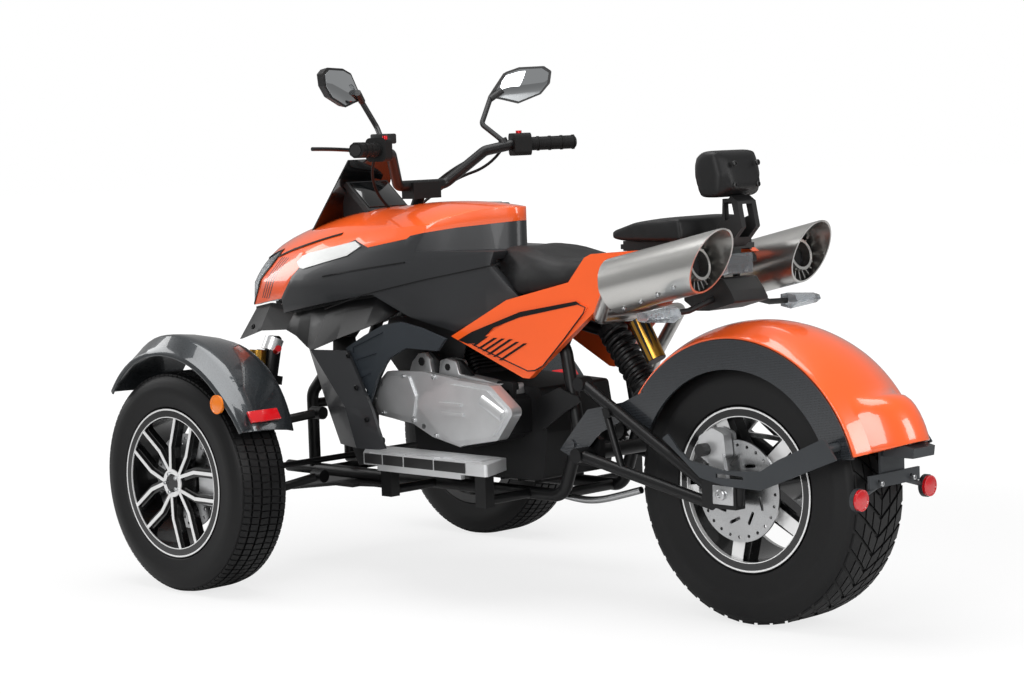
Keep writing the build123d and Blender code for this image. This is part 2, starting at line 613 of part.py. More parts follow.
# Leg shield levels: Z, then X and Y of the front edge, of the ridge and of the rear edge.
SHIELD_LEVELS = (
    (SHIELD_TOP_Z, (686, 250), (624, 298), (514, 270)),
    (469, (617, 256), (495, 300), (418, 280)),
    (FOOTBOARD_Z + FOOTBOARD_WALL + SEAT_GAP, (560, 262), (454, 302), (366, 286)),
)
SHIELD_WALL = 9
with BuildPart() as leg_shields:
    levels = []
    for z, *outer in SHIELD_LEVELS:
        with BuildSketch(Plane.XY.offset(z)) as section:
            with BuildLine():
                Polyline(*outer, *[(x, y - SHIELD_WALL) for x, y in reversed(outer)], close=True)
            make_face()
        levels.append(section.sketch)
    loft(levels, ruled=True)
    mirror(about=Plane.XZ)
leg_shields.part.label = "leg_shields"

# Fairing stations: X, tucked Y, top Z, kink Z, low edge Y and Z.
FAIRING_STATIONS = (
    (380, 206, 722, 716, 250, 696), (450, 215, 766, 749, 262, 672), (545, 228, 757, 735, 276, 641),
    (620, 230, 744, 723, 298, SHIELD_TOP_Z + SEAT_GAP), (690, 231, 730, 710, 252, SHIELD_TOP_Z + SEAT_GAP),
    (735, 228, 722, 703, 250, 640), (775, 220, 716, 697, 250, 655), (870, 221, 722, 716, 262, 650),
    (960, 196, 708, 702, 258, 624),
)
FAIRING_WALL = 9
GRILLE_BARS = 3
with BuildPart() as lower_fairing:
    stations = []
    for x, tuck_y, top_z, kink_z, low_y, low_z in FAIRING_STATIONS:
        with BuildSketch(Plane(origin=(x, 0, 0), x_dir=(0, 1, 0), z_dir=(1, 0, 0))) as section:
            with BuildLine():
                Polyline((tuck_y, top_z), (tuck_y, kink_z), (low_y, low_z), (low_y - FAIRING_WALL, low_z),
                         (tuck_y - FAIRING_WALL, kink_z - 3), (tuck_y - FAIRING_WALL, top_z), close=True)
            make_face()
        stations.append(section.sketch)
    loft(stations, ruled=True)
    mirror(about=Plane.XZ)
with BuildPart() as fascia:
    panel(CHEEK_FRONT + LAMP_TOP + [(1030, 705), (955, 705)], LAMP_Y)
    for number in range(GRILLE_BARS):
        z = 722 + number * 24
        box((960, -50, z), (1060, 50, z + 12), mode=Mode.SUBTRACT)
with lower_fairing:
    add(fascia.part)
lower_fairing.part.label = "lower_fairing"

VENT_OUTLINE = [(530, 617), (456, 653), (381, 683), (323, 691), (252, 679), (160, 654), (190, 623), (305, 626),
                (366, 598), (413, 550), (447, 477), (450, 494), (457, 511), (496, 568)]
VENT_Y = 248
VENT_WALL = 10
VENT_POCKETS = (
    [(504, 620), (386, 664), (386, 645), (409, 628), (504, 604)],
    [(494, 588), (413, 609), (420, 588), (444, 567), (478, 560)],
    [(475, 543), (437, 557), (441, 532), (456, 513)],
)
with BuildPart() as vent_panels:
    side_plate(VENT_OUTLINE, VENT_Y, VENT_Y + VENT_WALL)
    for pocket in VENT_POCKETS:
        side_plate(pocket, VENT_Y + VENT_WALL - 3, VENT_Y + VENT_WALL + 1, mode=Mode.SUBTRACT)
    for x, end_y, z in ((508, 266, 592), (448, 275, 500)):
        rod((x, VENT_Y, z), (x, end_y, z), 4)
    mirror(about=Plane.XZ)
    add(leg_shields.part, mode=Mode.SUBTRACT)
vent_panels.part.label = "vent_panels"

BOARD_OUTLINE = [(495, 225), (381, 345), (-60, 345), (-10, 225)]
# Raised foot areas of a board: X from, X to, Y from, Y to.
BOARD_PADS = ((128, 230, 318, 340), (236, 307, 318, 340), (313, 365, 318, 340), (-10, 360, 245, 312))
with BuildPart() as footboards:
    plan_plate(BOARD_OUTLINE, FOOTBOARD_Z, FOOTBOARD_Z + FOOTBOARD_WALL, corner=8)
    for x_low, x_high, y_low, y_high in BOARD_PADS:
        box((x_low, y_low, FOOTBOARD_Z + FOOTBOARD_WALL - 2), (x_high, y_high, FOOTBOARD_Z + FOOTBOARD_WALL + 4))
    box((30, 332, FOOTBOARD_Z - 12), (330, 345, FOOTBOARD_Z + 2))
    mirror(about=Plane.XZ)
footboards.part.label = "footboards"

# ---------------------------------------------------------------- engine
COVER_Y = 205
CRANKCASE_Y = 120
CRANKCASE = [(-40, 300), (330, 290), (410, 335), (425, 500), (300, 545), (-40, 530), (-60, 420)]
HOUSING = [(-8, 420), (30, 402), (150, 374), (260, 394), (330, 422), (448, 438), (460, 498), (436, 528), (408, 550),
           (284, 555), (174, 544), (44, 535), (-8, 500)]
CYLINDER_FOOT = Vector(300, -10, 500)
CYLINDER_LINE = Vector(0.45, 0, 0.893)
FIN_COUNT = 8
# Square sections stacked up the cylinder: start, depth, width across, width along, corner.
CYLINDER_STACK = ((0, 118, 124, 120, 16), (112, 34, 140, 150, 12), (144, 14, 112, 128, 10))


def cylinder_slab(start, depth, across, along, corner):
    """Rounded slab square to the cylinder's line."""
    foot = CYLINDER_FOOT + CYLINDER_LINE * start
    with BuildSketch(Plane(origin=tuple(foot), x_dir=(0, 1, 0), z_dir=tuple(CYLINDER_LINE))) as slab:
        RectangleRounded(across, along, corner)
    extrude(slab.sketch, amount=depth)


# Lugs on top of the housing: outline, Y from, Y to, and the hole's X, Z and radius.
ENGINE_LUGS = (
    ([(355, 604), (316, 606), (268, 566), (262, 540), (389, 540), (389, 560)], 140, 156, (332, 584, 10)),
    ([(210, 589), (252, 592), (262, 560), (268, 538), (166, 538), (172, 560)], 148, 160, (222, 572, 8)),
    ([(72, 545), (17, 545), (12, 525), (80, 525)], 150, 166, (44, 536, 4)),
    ([(46, 536), (22, 547), (0, 545), (0, 470), (20, 470)], 172, 184, (20, 520, 7)),
)
with BuildPart() as engine:
    side_plate(CRANKCASE, -CRANKCASE_Y, CRANKCASE_Y + 10, corner=12)
    side_plate(HOUSING, CRANKCASE_Y, COVER_Y - 2, corner=6)
    for stack in CYLINDER_STACK:
        cylinder_slab(*stack)
    for number in range(FIN_COUNT):
        cylinder_slab(30 + number * 10, 4, 148, 146, 22)
    for outline, y_low, y_high, (hole_x, hole_z, hole_r) in ENGINE_LUGS:
        side_plate(outline, y_low, y_high, corner=3)
        rod((hole_x, y_low - 1, hole_z), (hole_x, y_high + 1, hole_z), hole_r, mode=Mode.SUBTRACT)
    for x, z, radius, depth in ((190, 425, 82, 22), (190, 425, 58, 30), (330, 350, 30, 34), (60, 360, 24, 16)):
        rod((x, -CRANKCASE_Y + 4, z), (x, -CRANKCASE_Y - depth, z), radius)
    for number in range(5):
        box((20 + number * 60, -84, 283), (32 + number * 60, 84, 300))
    rod((DRIVE_X, -94, DRIVE_Z), (DRIVE_X, -CRANKCASE_Y - 4, DRIVE_Z), 26)
    rod((DRIVE_X, -94, DRIVE_Z), (DRIVE_X, SPROCKET_Y - 6, DRIVE_Z), 11)
    toothed_disc((DRIVE_X, DRIVE_Z), DRIVE_SPROCKET_R, DRIVE_TEETH, SPROCKET_Y - SPROCKET_WALL / 2,
                 SPROCKET_Y + SPROCKET_WALL / 2, 0)
engine.part.label = "engine"

CASE_OUTLINE = [(469, 504), (443, 534), (413, 559), (284, 564), (174, 552), (45, 544), (-35, 484), (-25, 454),
                (25, 414), (154, 380), (254, 400), (323, 429), (453, 444), (469, 474)]
RIM_OUTLINE = [(297, 485), (262, 512), (163, 552), (25, 542), (-54, 482), (5, 408), (134, 386), (203, 403)]
DOME_OUTLINE = [(284, 484), (256, 504), (162, 540), (32, 531), (-40, 480), (12, 419), (134, 398), (197, 413)]
COVER_RIBS = ((120, 196, 486, 494), (112, 188, 462, 470))
with BuildPart() as transmission_cover:
    side_plate(CASE_OUTLINE, COVER_Y - 2 + SEAT_GAP, COVER_Y + 18, corner=8)
    side_plate([(452, 500), (432, 526), (408, 545), (330, 550), (306, 500), (318, 444), (446, 458)], COVER_Y + 10,
               COVER_Y + 24, corner=8)
    side_plate(RIM_OUTLINE, COVER_Y, COVER_Y + 34, corner=16)
    side_plate(DOME_OUTLINE, COVER_Y + 30, COVER_Y + 42, corner=16)
    rod((-22, COVER_Y + 34, 470), (50, COVER_Y + 34, 506), 17)
    for x_low, x_high, z_low, z_high in COVER_RIBS:
        box((x_low, COVER_Y + 38, z_low), (x_high, COVER_Y + 48, z_high))
    rod((284, COVER_Y - 10, 424), (284, COVER_Y + 40, 424), 7, mode=Mode.SUBTRACT)
    box((-60, COVER_Y - 30, 380), (500, COVER_Y - 2 + SEAT_GAP, 580), mode=Mode.SUBTRACT)
transmission_cover.part.label = "transmission_cover"

# ---------------------------------------------------------------- rider's seat
SEAT_STATIONS = (
    (148, 96, 805, 872), (70, 128, 765, 850), (-40, 144, 772, 832), (-140, 130, 795, 850), (-215, 104, 815, 868),
)
with BuildPart() as rider_seat:
    slices = []
    for x, half, low_z, top_z in SEAT_STATIONS:
        with BuildSketch(Plane(origin=(x, 0, 0), x_dir=(0, 1, 0), z_dir=(1, 0, 0))) as section:
            with BuildLine():
                Polyline((-half, low_z + 30), (-half + 15, low_z), (half - 15, low_z), (half, low_z + 30))
                ThreePointArc((half, low_z + 30), (0, top_z), (-half, low_z + 30))
            make_face()
        slices.append(section.sketch)
    loft(slices, ruled=True)
    add(side_covers.part, mode=Mode.SUBTRACT)
rider_seat.part.label = "rider_seat"

# ---------------------------------------------------------------- swingarm
SWING_PIVOT_X = -195
FENDER_ARM_Y = 178
AXLE_END_Y = FENDER_ARM_Y - SEAT_GAP
SWING_TOP_X = -210
SWING_TOP_Z = 552
SWING_PIVOT_Z = 377
with BuildPart() as swingarm:
    for hand in (1, -1):
        y = hand * SWINGARM_Y
        rod((REAR_AXLE_X + 40, y, 292), (SWING_PIVOT_X, y, SWING_PIVOT_Z), SWINGARM_TUBE_R)
        rod((REAR_AXLE_X + 40, y, 325), (SWING_TOP_X, y, SWING_TOP_Z), SWINGARM_TUBE_R)
        rod((-330, y, 354), (-280, y, 497), 9)
        rod((SWING_TOP_X, y - 18, SWING_TOP_Z), (SWING_TOP_X, y + 18, SWING_TOP_Z), 17)
        low_y, high_y = sorted((hand * 17, hand * 23))
        side_plate([(-312, 480), (-288, 480), (-276, 512), (-290, 526), (-304, 512)], low_y, high_y, corner=2)
        rod((REAR_AXLE_X - 34, y, REAR_TYRE_R - 24), (REAR_AXLE_X - 38, y, REAR_TYRE_R + 16), 12)
        box((REAR_AXLE_X - 40, y - 17, REAR_TYRE_R - 34), (REAR_AXLE_X + 60, y + 17, REAR_TYRE_R + 30))
    for x, z, radius in ((SWING_PIVOT_X, SWING_PIVOT_Z, PIVOT_TUBE_R), (-300, 487, 11)):
        rod((x, -SWINGARM_Y - 19, z), (x, SWINGARM_Y + 19, z), radius)
    rod((REAR_AXLE_X, -AXLE_END_Y, REAR_TYRE_R), (REAR_AXLE_X, AXLE_END_Y, REAR_TYRE_R), REAR_AXLE_R)
swingarm.part.label = "swingarm"

# ---------------------------------------------------------------- frame
RAIL_Y = 110
RAIL_Z = 262
# Posts under the rider's seat: x, foot z, top z.
SEAT_POSTS = ((60, 675, 764.7), (-90, 665, 780.9))
OUTRIGGER_X = (360, 20)
OUTRIGGER_Y = 275
SKIRT_Y = 130.5
SKIRT_WALL = 3.5
SKIRT_FOOT = (-146, 398)
PIVOT_PLATE = [(-130, 345), (-225, 345), (-225, 412), (-130, 450)]
# Cross tubes of the frame: x, half width, z, tube radius.
NOSE_POST_X = FRONT_AXLE_X + 20
PLATE_Y = 136
PLATE_WALL = 6
PLATE_SIDE = [(-30, 468), (-30, 501), (-115, 536), (-156, 521), (-178, 518), (-184, 507), (-167, 494), (-125, 473),
              (-60, 430), (-42, 430)]
FRAME_CROSS_TUBES = ((FRONT_AXLE_X - 30, RAIL_Y, RAIL_Z, 13), (-60, RAIL_Y, RAIL_Z, 13), (NOSE_POST_X, RAIL_Y, 440, 13),
                     (500, 62, 786, 13), (-150, 70, 713, 9), (-330, 70, 771, 9), (-540, 70, 843, 9))
with BuildPart() as main_frame:
    for hand in (1, -1):
        bent_tube([(FRONT_AXLE_X + 130, hand * RAIL_Y, RAIL_Z), (-90, hand * RAIL_Y, RAIL_Z), (-150, hand * RAIL_Y, 420),
                      (-110, hand * RAIL_Y, 640), (100, hand * 70, 690), (560, hand * 60, 800),
                      (NOSE_POST_X, hand * RAIL_Y, 470), (NOSE_POST_X, hand * RAIL_Y, RAIL_Z + 8)], 45, FRAME_TUBE_R)
        bent_tube([(-110, hand * RAIL_Y, 640), (-110, hand * 70, 700), (-300, hand * 70, 762),
                      (-560, hand * 70, 850)], 25, 12)
        for x, foot_z, top_z in SEAT_POSTS:
            rod((x, hand * 70, foot_z), (x, hand * 70, top_z), 10)
        for x in OUTRIGGER_X:
            rod((x, hand * RAIL_Y, RAIL_Z), (x, hand * OUTRIGGER_Y, RAIL_Z), 12)
            foot_y = hand * OUTRIGGER_Y
            box((x - 18, foot_y - 15, RAIL_Z - 15), (x + 18, foot_y + 15, FOOTBOARD_Z - SEAT_GAP))
        inner_y, outer_y = sorted((hand * (RAIL_Y - 8), hand * (RAIL_Y + 8)))
        side_plate(PIVOT_PLATE, inner_y, outer_y, corner=6)
    side_plate(PLATE_SIDE, PLATE_Y, PLATE_Y + PLATE_WALL, corner=5)
    rod((-136, RAIL_Y, 500), (-136, PLATE_Y + PLATE_WALL, 500), 13)
    rod((SKIRT_FOOT[0], RAIL_Y, SKIRT_FOOT[1]), (SKIRT_FOOT[0], SKIRT_Y - SEAT_GAP, SKIRT_FOOT[1]), 13)
    for x, y, z, radius in FRAME_CROSS_TUBES:
        rod((x, -y, z), (x, y, z), radius)
    rod((SWING_PIVOT_X, -RAIL_Y - 20, SWING_PIVOT_Z), (SWING_PIVOT_X, RAIL_Y + 20, SWING_PIVOT_Z),
        PIVOT_TUBE_R + SEAT_GAP, mode=Mode.SUBTRACT)
main_frame.part.label = "main_frame"

TRAY_TOP_Z = RAIL_Z - FRAME_TUBE_R - SEAT_GAP
with BuildPart() as skid_tray:
    side_plate([(FRONT_AXLE_X + 140, 205), (NOSE_POST_X, 214), (668, TRAY_TOP_Z - 8), (600, TRAY_TOP_Z - 8),
                (600, TRAY_TOP_Z), (668, TRAY_TOP_Z), (NOSE_POST_X, 222), (FRONT_AXLE_X + 140, 213)], -190, 190)
    plan_plate([(670, -190), (670, 190), (560, 150), (520, 150), (520, -150), (560, -150)], TRAY_TOP_Z - 8, TRAY_TOP_Z)
skid_tray.part.label = "skid_tray"

# ---------------------------------------------------------------- tail
TAIL_OUTLINE = [(197, 655), (20, 749), (-169, 795), (-218, 855), (-238, 864), (-520, 883.6), (-560, 862), (-278, 783),
                (-253, 733), (-43, 557), (-24, 558)]
TAIL_TAPER = 7.5
SWOOSH_OUTLINE = [(128, 637), (-24, 717), (-193, 747), (-226, 736), (-220, 727), (-83, 586), (-42, 573), (20, 596)]
with BuildPart() as tail_panels:
    lean = Plane(origin=(197, 200, 0), x_dir=(cos(radians(TAIL_TAPER)), sin(radians(TAIL_TAPER)), 0),
                 z_dir=(sin(radians(TAIL_TAPER)), -cos(radians(TAIL_TAPER)), 0))
    with BuildSketch(lean) as section:
        with BuildLine():
            Polyline(*[(x - 197, z) for x, z in TAIL_OUTLINE], close=True)
        make_face()
    extrude(section.sketch, amount=22)
    raised = Plane(origin=tuple(lean.origin - lean.z_dir * 4), x_dir=lean.x_dir, z_dir=lean.z_dir)
    with BuildSketch(raised) as swoosh:
        with BuildLine():
            Polyline(*[(x - 197, z) for x, z in SWOOSH_OUTLINE], close=True)
        make_face()
    extrude(swoosh.sketch, amount=8)
    mirror(about=Plane.XZ)
tail_panels.part.label = "tail_panels"

BACKREST_SIDE = [(-506, 1090), (-531, 1108), (-575, 1107), (-592, 1051), (-590, 1006), (-578, 991), (-520, 991),
                 (-503, 1044)]
with BuildPart() as backrest:
    side_plate([(x + 4, z) for x, z in BACKREST_SIDE], -82, 82, corner=8)
    side_plate([(-560, 1000), (-610, 1010), (-600, 1050), (-584, 1098), (-550, 1098)], -62, 62, corner=8)
backrest.part.label = "backrest"

with BuildPart() as rear_rack:
    box((-560, -75, 872), (-270, 75, 884))
    box((-548, -40, 852 + SEAT_GAP), (-532, 40, 872))
    box((-338, -40, 780 + SEAT_GAP), (-322, 40, 872))
    side_plate([(-504, 878), (-553, 945), (-556, 1000), (-578, 1000), (-600, 985), (-612, 925), (-568, 878)], -34, 34,
               corner=4)
    side_plate([(-562, 940), (-560, 982), (-582, 984), (-590, 950)], -36, 36, mode=Mode.SUBTRACT)
    box((-650, -18, 900), (-480, 18, 978), mode=Mode.SUBTRACT)
    box((-552, -75, 868), (-278, -66, 892))
    box((-552, 66, 868), (-278, 75, 892))
    add(backrest.part, mode=Mode.SUBTRACT)
rear_rack.part.label = "rear_rack"

with BuildPart() as pillion_seat:
    side_plate([(-277, 892.3), (-270, 915), (-347, 940), (-492, 952), (-500, 892.3)], -120, 120, corner=6)
pillion_seat.part.label = "pillion_seat"

with BuildPart() as tail_lamp:
    side_plate([(-578, 815), (-578, 862), (-549.5, 862), (-549.5, 812)], -45, 45, corner=4)
tail_lamp.part.label = "tail_lamp"

UNDERTAIL_SIDE = [(-455, 752), (-491, 729), (-530, 730), (-611, 752), (-596, 778), (-575, 806), (-540, 806), (-504, 787),
                  (-455, 772)]
SIGNAL_X = -542
SIGNAL_Z = 735
SIGNAL_Y = 215
with BuildPart() as undertail:
    side_plate(UNDERTAIL_SIDE, -62, 62, corner=6)
    for hand in (1, -1):
        low_y, high_y = sorted((hand * 25, hand * 35))
        box((SIGNAL_X - 5, low_y, 780), (SIGNAL_X + 9, high_y, 833.7))
        bent_tube([(SIGNAL_X, hand * 40, 762), (SIGNAL_X, hand * 150, SIGNAL_Z + 2), (SIGNAL_X, hand * SIGNAL_Y, SIGNAL_Z)],
                  20, 7)
undertail.part.label = "undertail"

with BuildPart() as turn_signals:
    with BuildSketch(Plane.XZ.offset(-SIGNAL_Y - 103)) as lens:
        with BuildLine():
            Polyline(*[(SIGNAL_X + x, SIGNAL_Z + z) for x, z in ((10, -8), (-12, -12), (-26, -2), (-22, 8), (-4, 12), (10, 9))],
                     close=True)
        make_face()
    extrude(lens.sketch, amount=103, taper=-4)
    mirror(about=Plane.XZ)
    add(undertail.part, mode=Mode.SUBTRACT)
turn_signals.part.label = "turn_signals"

MUFFLER_FRONT = (-365, 200, 795)
MUFFLER_BACK = (-690, 183, 867)
MUFFLER_R = 66
with BuildPart() as mufflers:
    rod(MUFFLER_FRONT, MUFFLER_BACK, MUFFLER_R)
    side_plate([(-740, 700), (-560, 700), (-600, 760), (-680, 935), (-740, 960)], 80, 320, mode=Mode.SUBTRACT)
    muffler_line = Vector(*MUFFLER_BACK) - Vector(*MUFFLER_FRONT)
    rod(tuple(Vector(*MUFFLER_FRONT) + muffler_line * 0.55), tuple(Vector(*MUFFLER_BACK) + muffler_line * 0.2),
        MUFFLER_R - 4, mode=Mode.SUBTRACT)
    rod(tuple(Vector(*MUFFLER_FRONT) + muffler_line * 0.5), tuple(Vector(*MUFFLER_FRONT) + muffler_line * 0.76), 38)
    rod(tuple(Vector(*MUFFLER_FRONT) + muffler_line * 0.6), tuple(Vector(*MUFFLER_FRONT) + muffler_line * 0.9), 31,
        mode=Mode.SUBTRACT)
    rod((-340, 201, 789), MUFFLER_FRONT, 36)
    mirror(about=Plane.XZ)
mufflers.part.label = "mufflers"

with BuildPart() as exhaust_pipe:
    bent_tube([(395, -40, 595), (470, -100, 480), (440, -168, 300), (100, -168, 300), (-60, -190, 430), (-150, -190, 600), (-262, -150, 712), (-262, 150, 712),
               (-345, 201, 790)], 20, 16)
    add(mufflers.part, mode=Mode.SUBTRACT)
    add(engine.part, mode=Mode.SUBTRACT)
exhaust_pipe.part.label = "exhaust_pipe"

# ---------------------------------------------------------------- rear suspension and driveline
SHOCK_HEAD = (-150, 0, 690)
SHOCK_TAIL = (-290, 0, 512)
with BuildPart() as rear_shock:
    shock_line = Vector(*SHOCK_TAIL) - Vector(*SHOCK_HEAD)
    rod(SHOCK_HEAD, tuple(Vector(*SHOCK_HEAD) + shock_line * 0.6), 20)
    rod(tuple(Vector(*SHOCK_HEAD) + shock_line * 0.55), SHOCK_TAIL, 9)
    coil_stack(tuple(Vector(*SHOCK_HEAD) + shock_line * 0.16), tuple(Vector(*SHOCK_HEAD) + shock_line * 0.84), 33, 10, 8)
    rod(tuple(Vector(*SHOCK_HEAD) + shock_line * 0.08), tuple(Vector(*SHOCK_HEAD) + shock_line * 0.16), 36)
    rod(tuple(Vector(*SHOCK_HEAD) + shock_line * 0.84), tuple(Vector(*SHOCK_HEAD) + shock_line * 0.9), 36)
    rod((SHOCK_HEAD[0], -16, SHOCK_HEAD[2]), (SHOCK_HEAD[0], 16, SHOCK_HEAD[2]), 14)
    rod((SHOCK_TAIL[0], -16.7, SHOCK_TAIL[2]), (SHOCK_TAIL[0], 16.7, SHOCK_TAIL[2]), 12)
    rod((-303, 55, 700), (-358, 55, 606), 24)
    bent_tube([(-322, 55, 668), (-290, 34, 664), (-200, 8, 640)], 14, 6)
rear_shock.part.label = "rear_shock"

CHAIN_GAP = 1
CHAIN_DEPTH = 10
CHAIN_HALF = 6
with BuildPart() as chain:
    for grown, mode in ((CHAIN_GAP + CHAIN_DEPTH, Mode.ADD), (CHAIN_GAP, Mode.SUBTRACT)):
        with BuildSketch(Plane.XZ.offset(-(SPROCKET_Y + CHAIN_HALF))) as loop:
            with Locations((REAR_AXLE_X, REAR_TYRE_R)):
                Circle(SPROCKET_R + grown)
            with Locations((DRIVE_X, DRIVE_Z)):
                Circle(DRIVE_SPROCKET_R + grown)
            make_hull()
        extrude(loop.sketch, amount=2 * CHAIN_HALF, mode=mode)
chain.part.label = "chain"

REAR_CALIPER = [(-640, 402), (-588, 384), (-556, 404), (-560, 446), (-600, 468), (-634, 456)]
with BuildPart() as rear_caliper:
    for y_low, y_high in ((REAR_DISC_Y + 5, REAR_DISC_Y + 33), (REAR_DISC_Y - 12, REAR_DISC_Y - 5.5)):
        side_plate(REAR_CALIPER, y_low, y_high, corner=10)
    side_plate([(-600, 448), (-580, 440), (-576, 452), (-596, 462)], REAR_DISC_Y - 10, REAR_DISC_Y + 20)
    side_plate([(REAR_AXLE_X + 4, REAR_TYRE_R + 30 + SEAT_GAP), (REAR_AXLE_X + 44, REAR_TYRE_R + 30 + SEAT_GAP), (-590, 400),
                (-634, 410)], REAR_DISC_Y + 28, REAR_DISC_Y + 40)
rear_caliper.part.label = "rear_caliper"

FENDER_EDGE_R = REAR_TYRE_R + 37
FENDER_CROWN_R = REAR_TYRE_R + 67
TAIL_X = REAR_AXLE_X - REAR_TYRE_R - 30
TAIL_POD = [(-960, 535), (-1038, 568), (-1055, 560), (-1106, 481), (-1105, 467), (TAIL_X - 6, 449), (TAIL_X - 9, 458),
            (-1080, 476), (-1040, 545), (-965, 520)]
with BuildPart() as rear_fender:
    with BuildSketch(wheel_plane(REAR_HUB)) as section:
        with BuildLine():
            ThreePointArc((-130, FENDER_EDGE_R), (0, FENDER_CROWN_R), (130, FENDER_EDGE_R))
            Line((130, FENDER_EDGE_R), (130, FENDER_EDGE_R - 5))
            ThreePointArc((130, FENDER_EDGE_R - 5), (0, FENDER_CROWN_R - 5), (-130, FENDER_EDGE_R - 5))
            Line((-130, FENDER_EDGE_R - 5), (-130, FENDER_EDGE_R))
        make_face()
    revolve(section.sketch, axis=Axis(REAR_HUB, (0, -1, 0)), revolution_arc=72)
    revolve(section.sketch, axis=Axis(REAR_HUB, (0, 1, 0)), revolution_arc=58)
    side_plate(TAIL_POD, -60, 60)
    ring(REAR_AXLE_X, REAR_TYRE_R, -64, 64, FENDER_EDGE_R - 4, 100, mode=Mode.SUBTRACT)
rear_fender.part.label = "rear_fender"

SKIRT_ARCH = [(-366, 467), (-435, 518), (-504, 572), (-622, 601), (-730, 593), (-822, 539), (-880, 470), (-945, 416)]
SKIRT_TAIL = [(-964, 446), (-935, 497), (-959, 511)]
SKIRT_LEG = [(-384, 540), (-315, 510), (-200, 486), (-104, 381), (-164, 357), (-239, 431), (-306, 463)]
with BuildPart() as fender_skirts:
    for hand in (1, -1):
        low_y, high_y = sorted((hand * (SKIRT_Y + SKIRT_WALL), hand * (SKIRT_Y - 6)))
        ring(REAR_AXLE_X, REAR_TYRE_R, low_y, high_y, FENDER_EDGE_R - 5.3, REAR_TYRE_R - 38)
        side_plate([(-1100, -90), (-1100, 430), (-945, 416), (REAR_AXLE_X, REAR_TYRE_R), (-366, 467), (-384, 540), (0, 500),
                    (0, -90)], low_y - 10, high_y + 10, mode=Mode.SUBTRACT)
    side_plate(SKIRT_LEG + [(-366, 467), (-420, 500), (-440, 570)], SKIRT_Y, SKIRT_Y + SKIRT_WALL, corner=3)
    rod((-300, 100, 487), (-300, 160, 487), 11 + SEAT_GAP, mode=Mode.SUBTRACT)
    rod((SWING_PIVOT_X, 100, SWING_PIVOT_Z), (SWING_PIVOT_X, 160, SWING_PIVOT_Z), PIVOT_TUBE_R + SEAT_GAP,
        mode=Mode.SUBTRACT)
    rod((*SKIRT_FOOT[:1], SKIRT_Y, SKIRT_FOOT[1]), (SKIRT_FOOT[0], SKIRT_Y + 8, SKIRT_FOOT[1]), 11)
fender_skirts.part.label = "fender_skirts"

ARM_SIDE = [(-498, 452), (-522, 426), (-560, 394), (-669, 377), (-770, 384), (-820, 413), (-948, 470), (-983, 424),
            (-769, 340), (-668, 342), (-592, 356), (-521, 411), (-480, 440)]
ARM_SLOTS = (([(-530, 430), (-545, 416), (-538, 410), (-522, 424)]), ([(-640, 370), (-720, 368), (-720, 360), (-640, 360)]))
with BuildPart() as fender_arms:
    side_plate(ARM_SIDE, FENDER_ARM_Y, FENDER_ARM_Y + 6, corner=3)
    for slot in ARM_SLOTS:
        side_plate(slot, FENDER_ARM_Y - 1, FENDER_ARM_Y + 7, mode=Mode.SUBTRACT)
    rod((-950, SKIRT_Y + SKIRT_WALL + SEAT_GAP, 446), (-950, FENDER_ARM_Y + 4, 446), 10)
    mirror(about=Plane.XZ)
fender_arms.part.label = "fender_arms"

PLATE_HOLE_Y = 61
PLATE_HOLE_R = 3.25
PLATE_Z = 365
with BuildPart() as plate_bracket:
    box((TAIL_X, -45, PLATE_Z - 5), (TAIL_X + 6, 45, PLATE_Z + 90))
    box((TAIL_X - 6, -95, PLATE_Z - 15), (TAIL_X, 95, PLATE_Z + 15))
    for hand in (1, -1):
        rod((TAIL_X + 3, hand * 20, PLATE_Z - 2), (TAIL_X + 3, hand * 128, PLATE_Z - 32), 6)
        rod((TAIL_X - 4, hand * 130, PLATE_Z - 34), (TAIL_X + 6, hand * 130, PLATE_Z - 34), 26)
    for y in (-25, 25):
        rod((TAIL_X + 5, y, PLATE_Z + 81), (TAIL_X - 11, y, PLATE_Z + 81), 7)
    add(rear_fender.part, mode=Mode.SUBTRACT)
    side_plate([(TAIL_X, 418), (-1085, 418), (-1088, 440), (-1062, 446), (TAIL_X, 430)], -40, 40)
    for y in (-PLATE_HOLE_Y, PLATE_HOLE_Y):
        rod((TAIL_X - 11, y, PLATE_Z), (TAIL_X + 5, y, PLATE_Z), PLATE_HOLE_R, mode=Mode.SUBTRACT)
plate_bracket.part.label = "plate_bracket"

for piece in (
    rear_tyre, rear_rim, rear_disc, rear_sprocket, wishbones, front_shocks, steering_link, side_covers, nose, top_cover,
    headlamps, windscreen, dash, lower_fairing, vent_panels, engine, transmission_cover, main_frame, skid_tray, leg_shields,
    footboards, rider_seat,
    tail_panels, rear_rack, pillion_seat, backrest, tail_lamp, turn_signals, undertail, mufflers, exhaust_pipe, swingarm, rear_shock,
    chain, rear_caliper, rear_fender, fender_skirts, fender_arms, plate_bracket,
):
    export_step(piece.part, f"parts/{piece.part.label}.step")
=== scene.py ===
"""Looks of a three-wheeled sports roadster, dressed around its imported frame."""

from __future__ import annotations

import json
import logging
import math
from dataclasses import dataclass
from enum import Enum
from typing import Iterable, Sequence

import bpy
from mathutils import Matrix, Vector


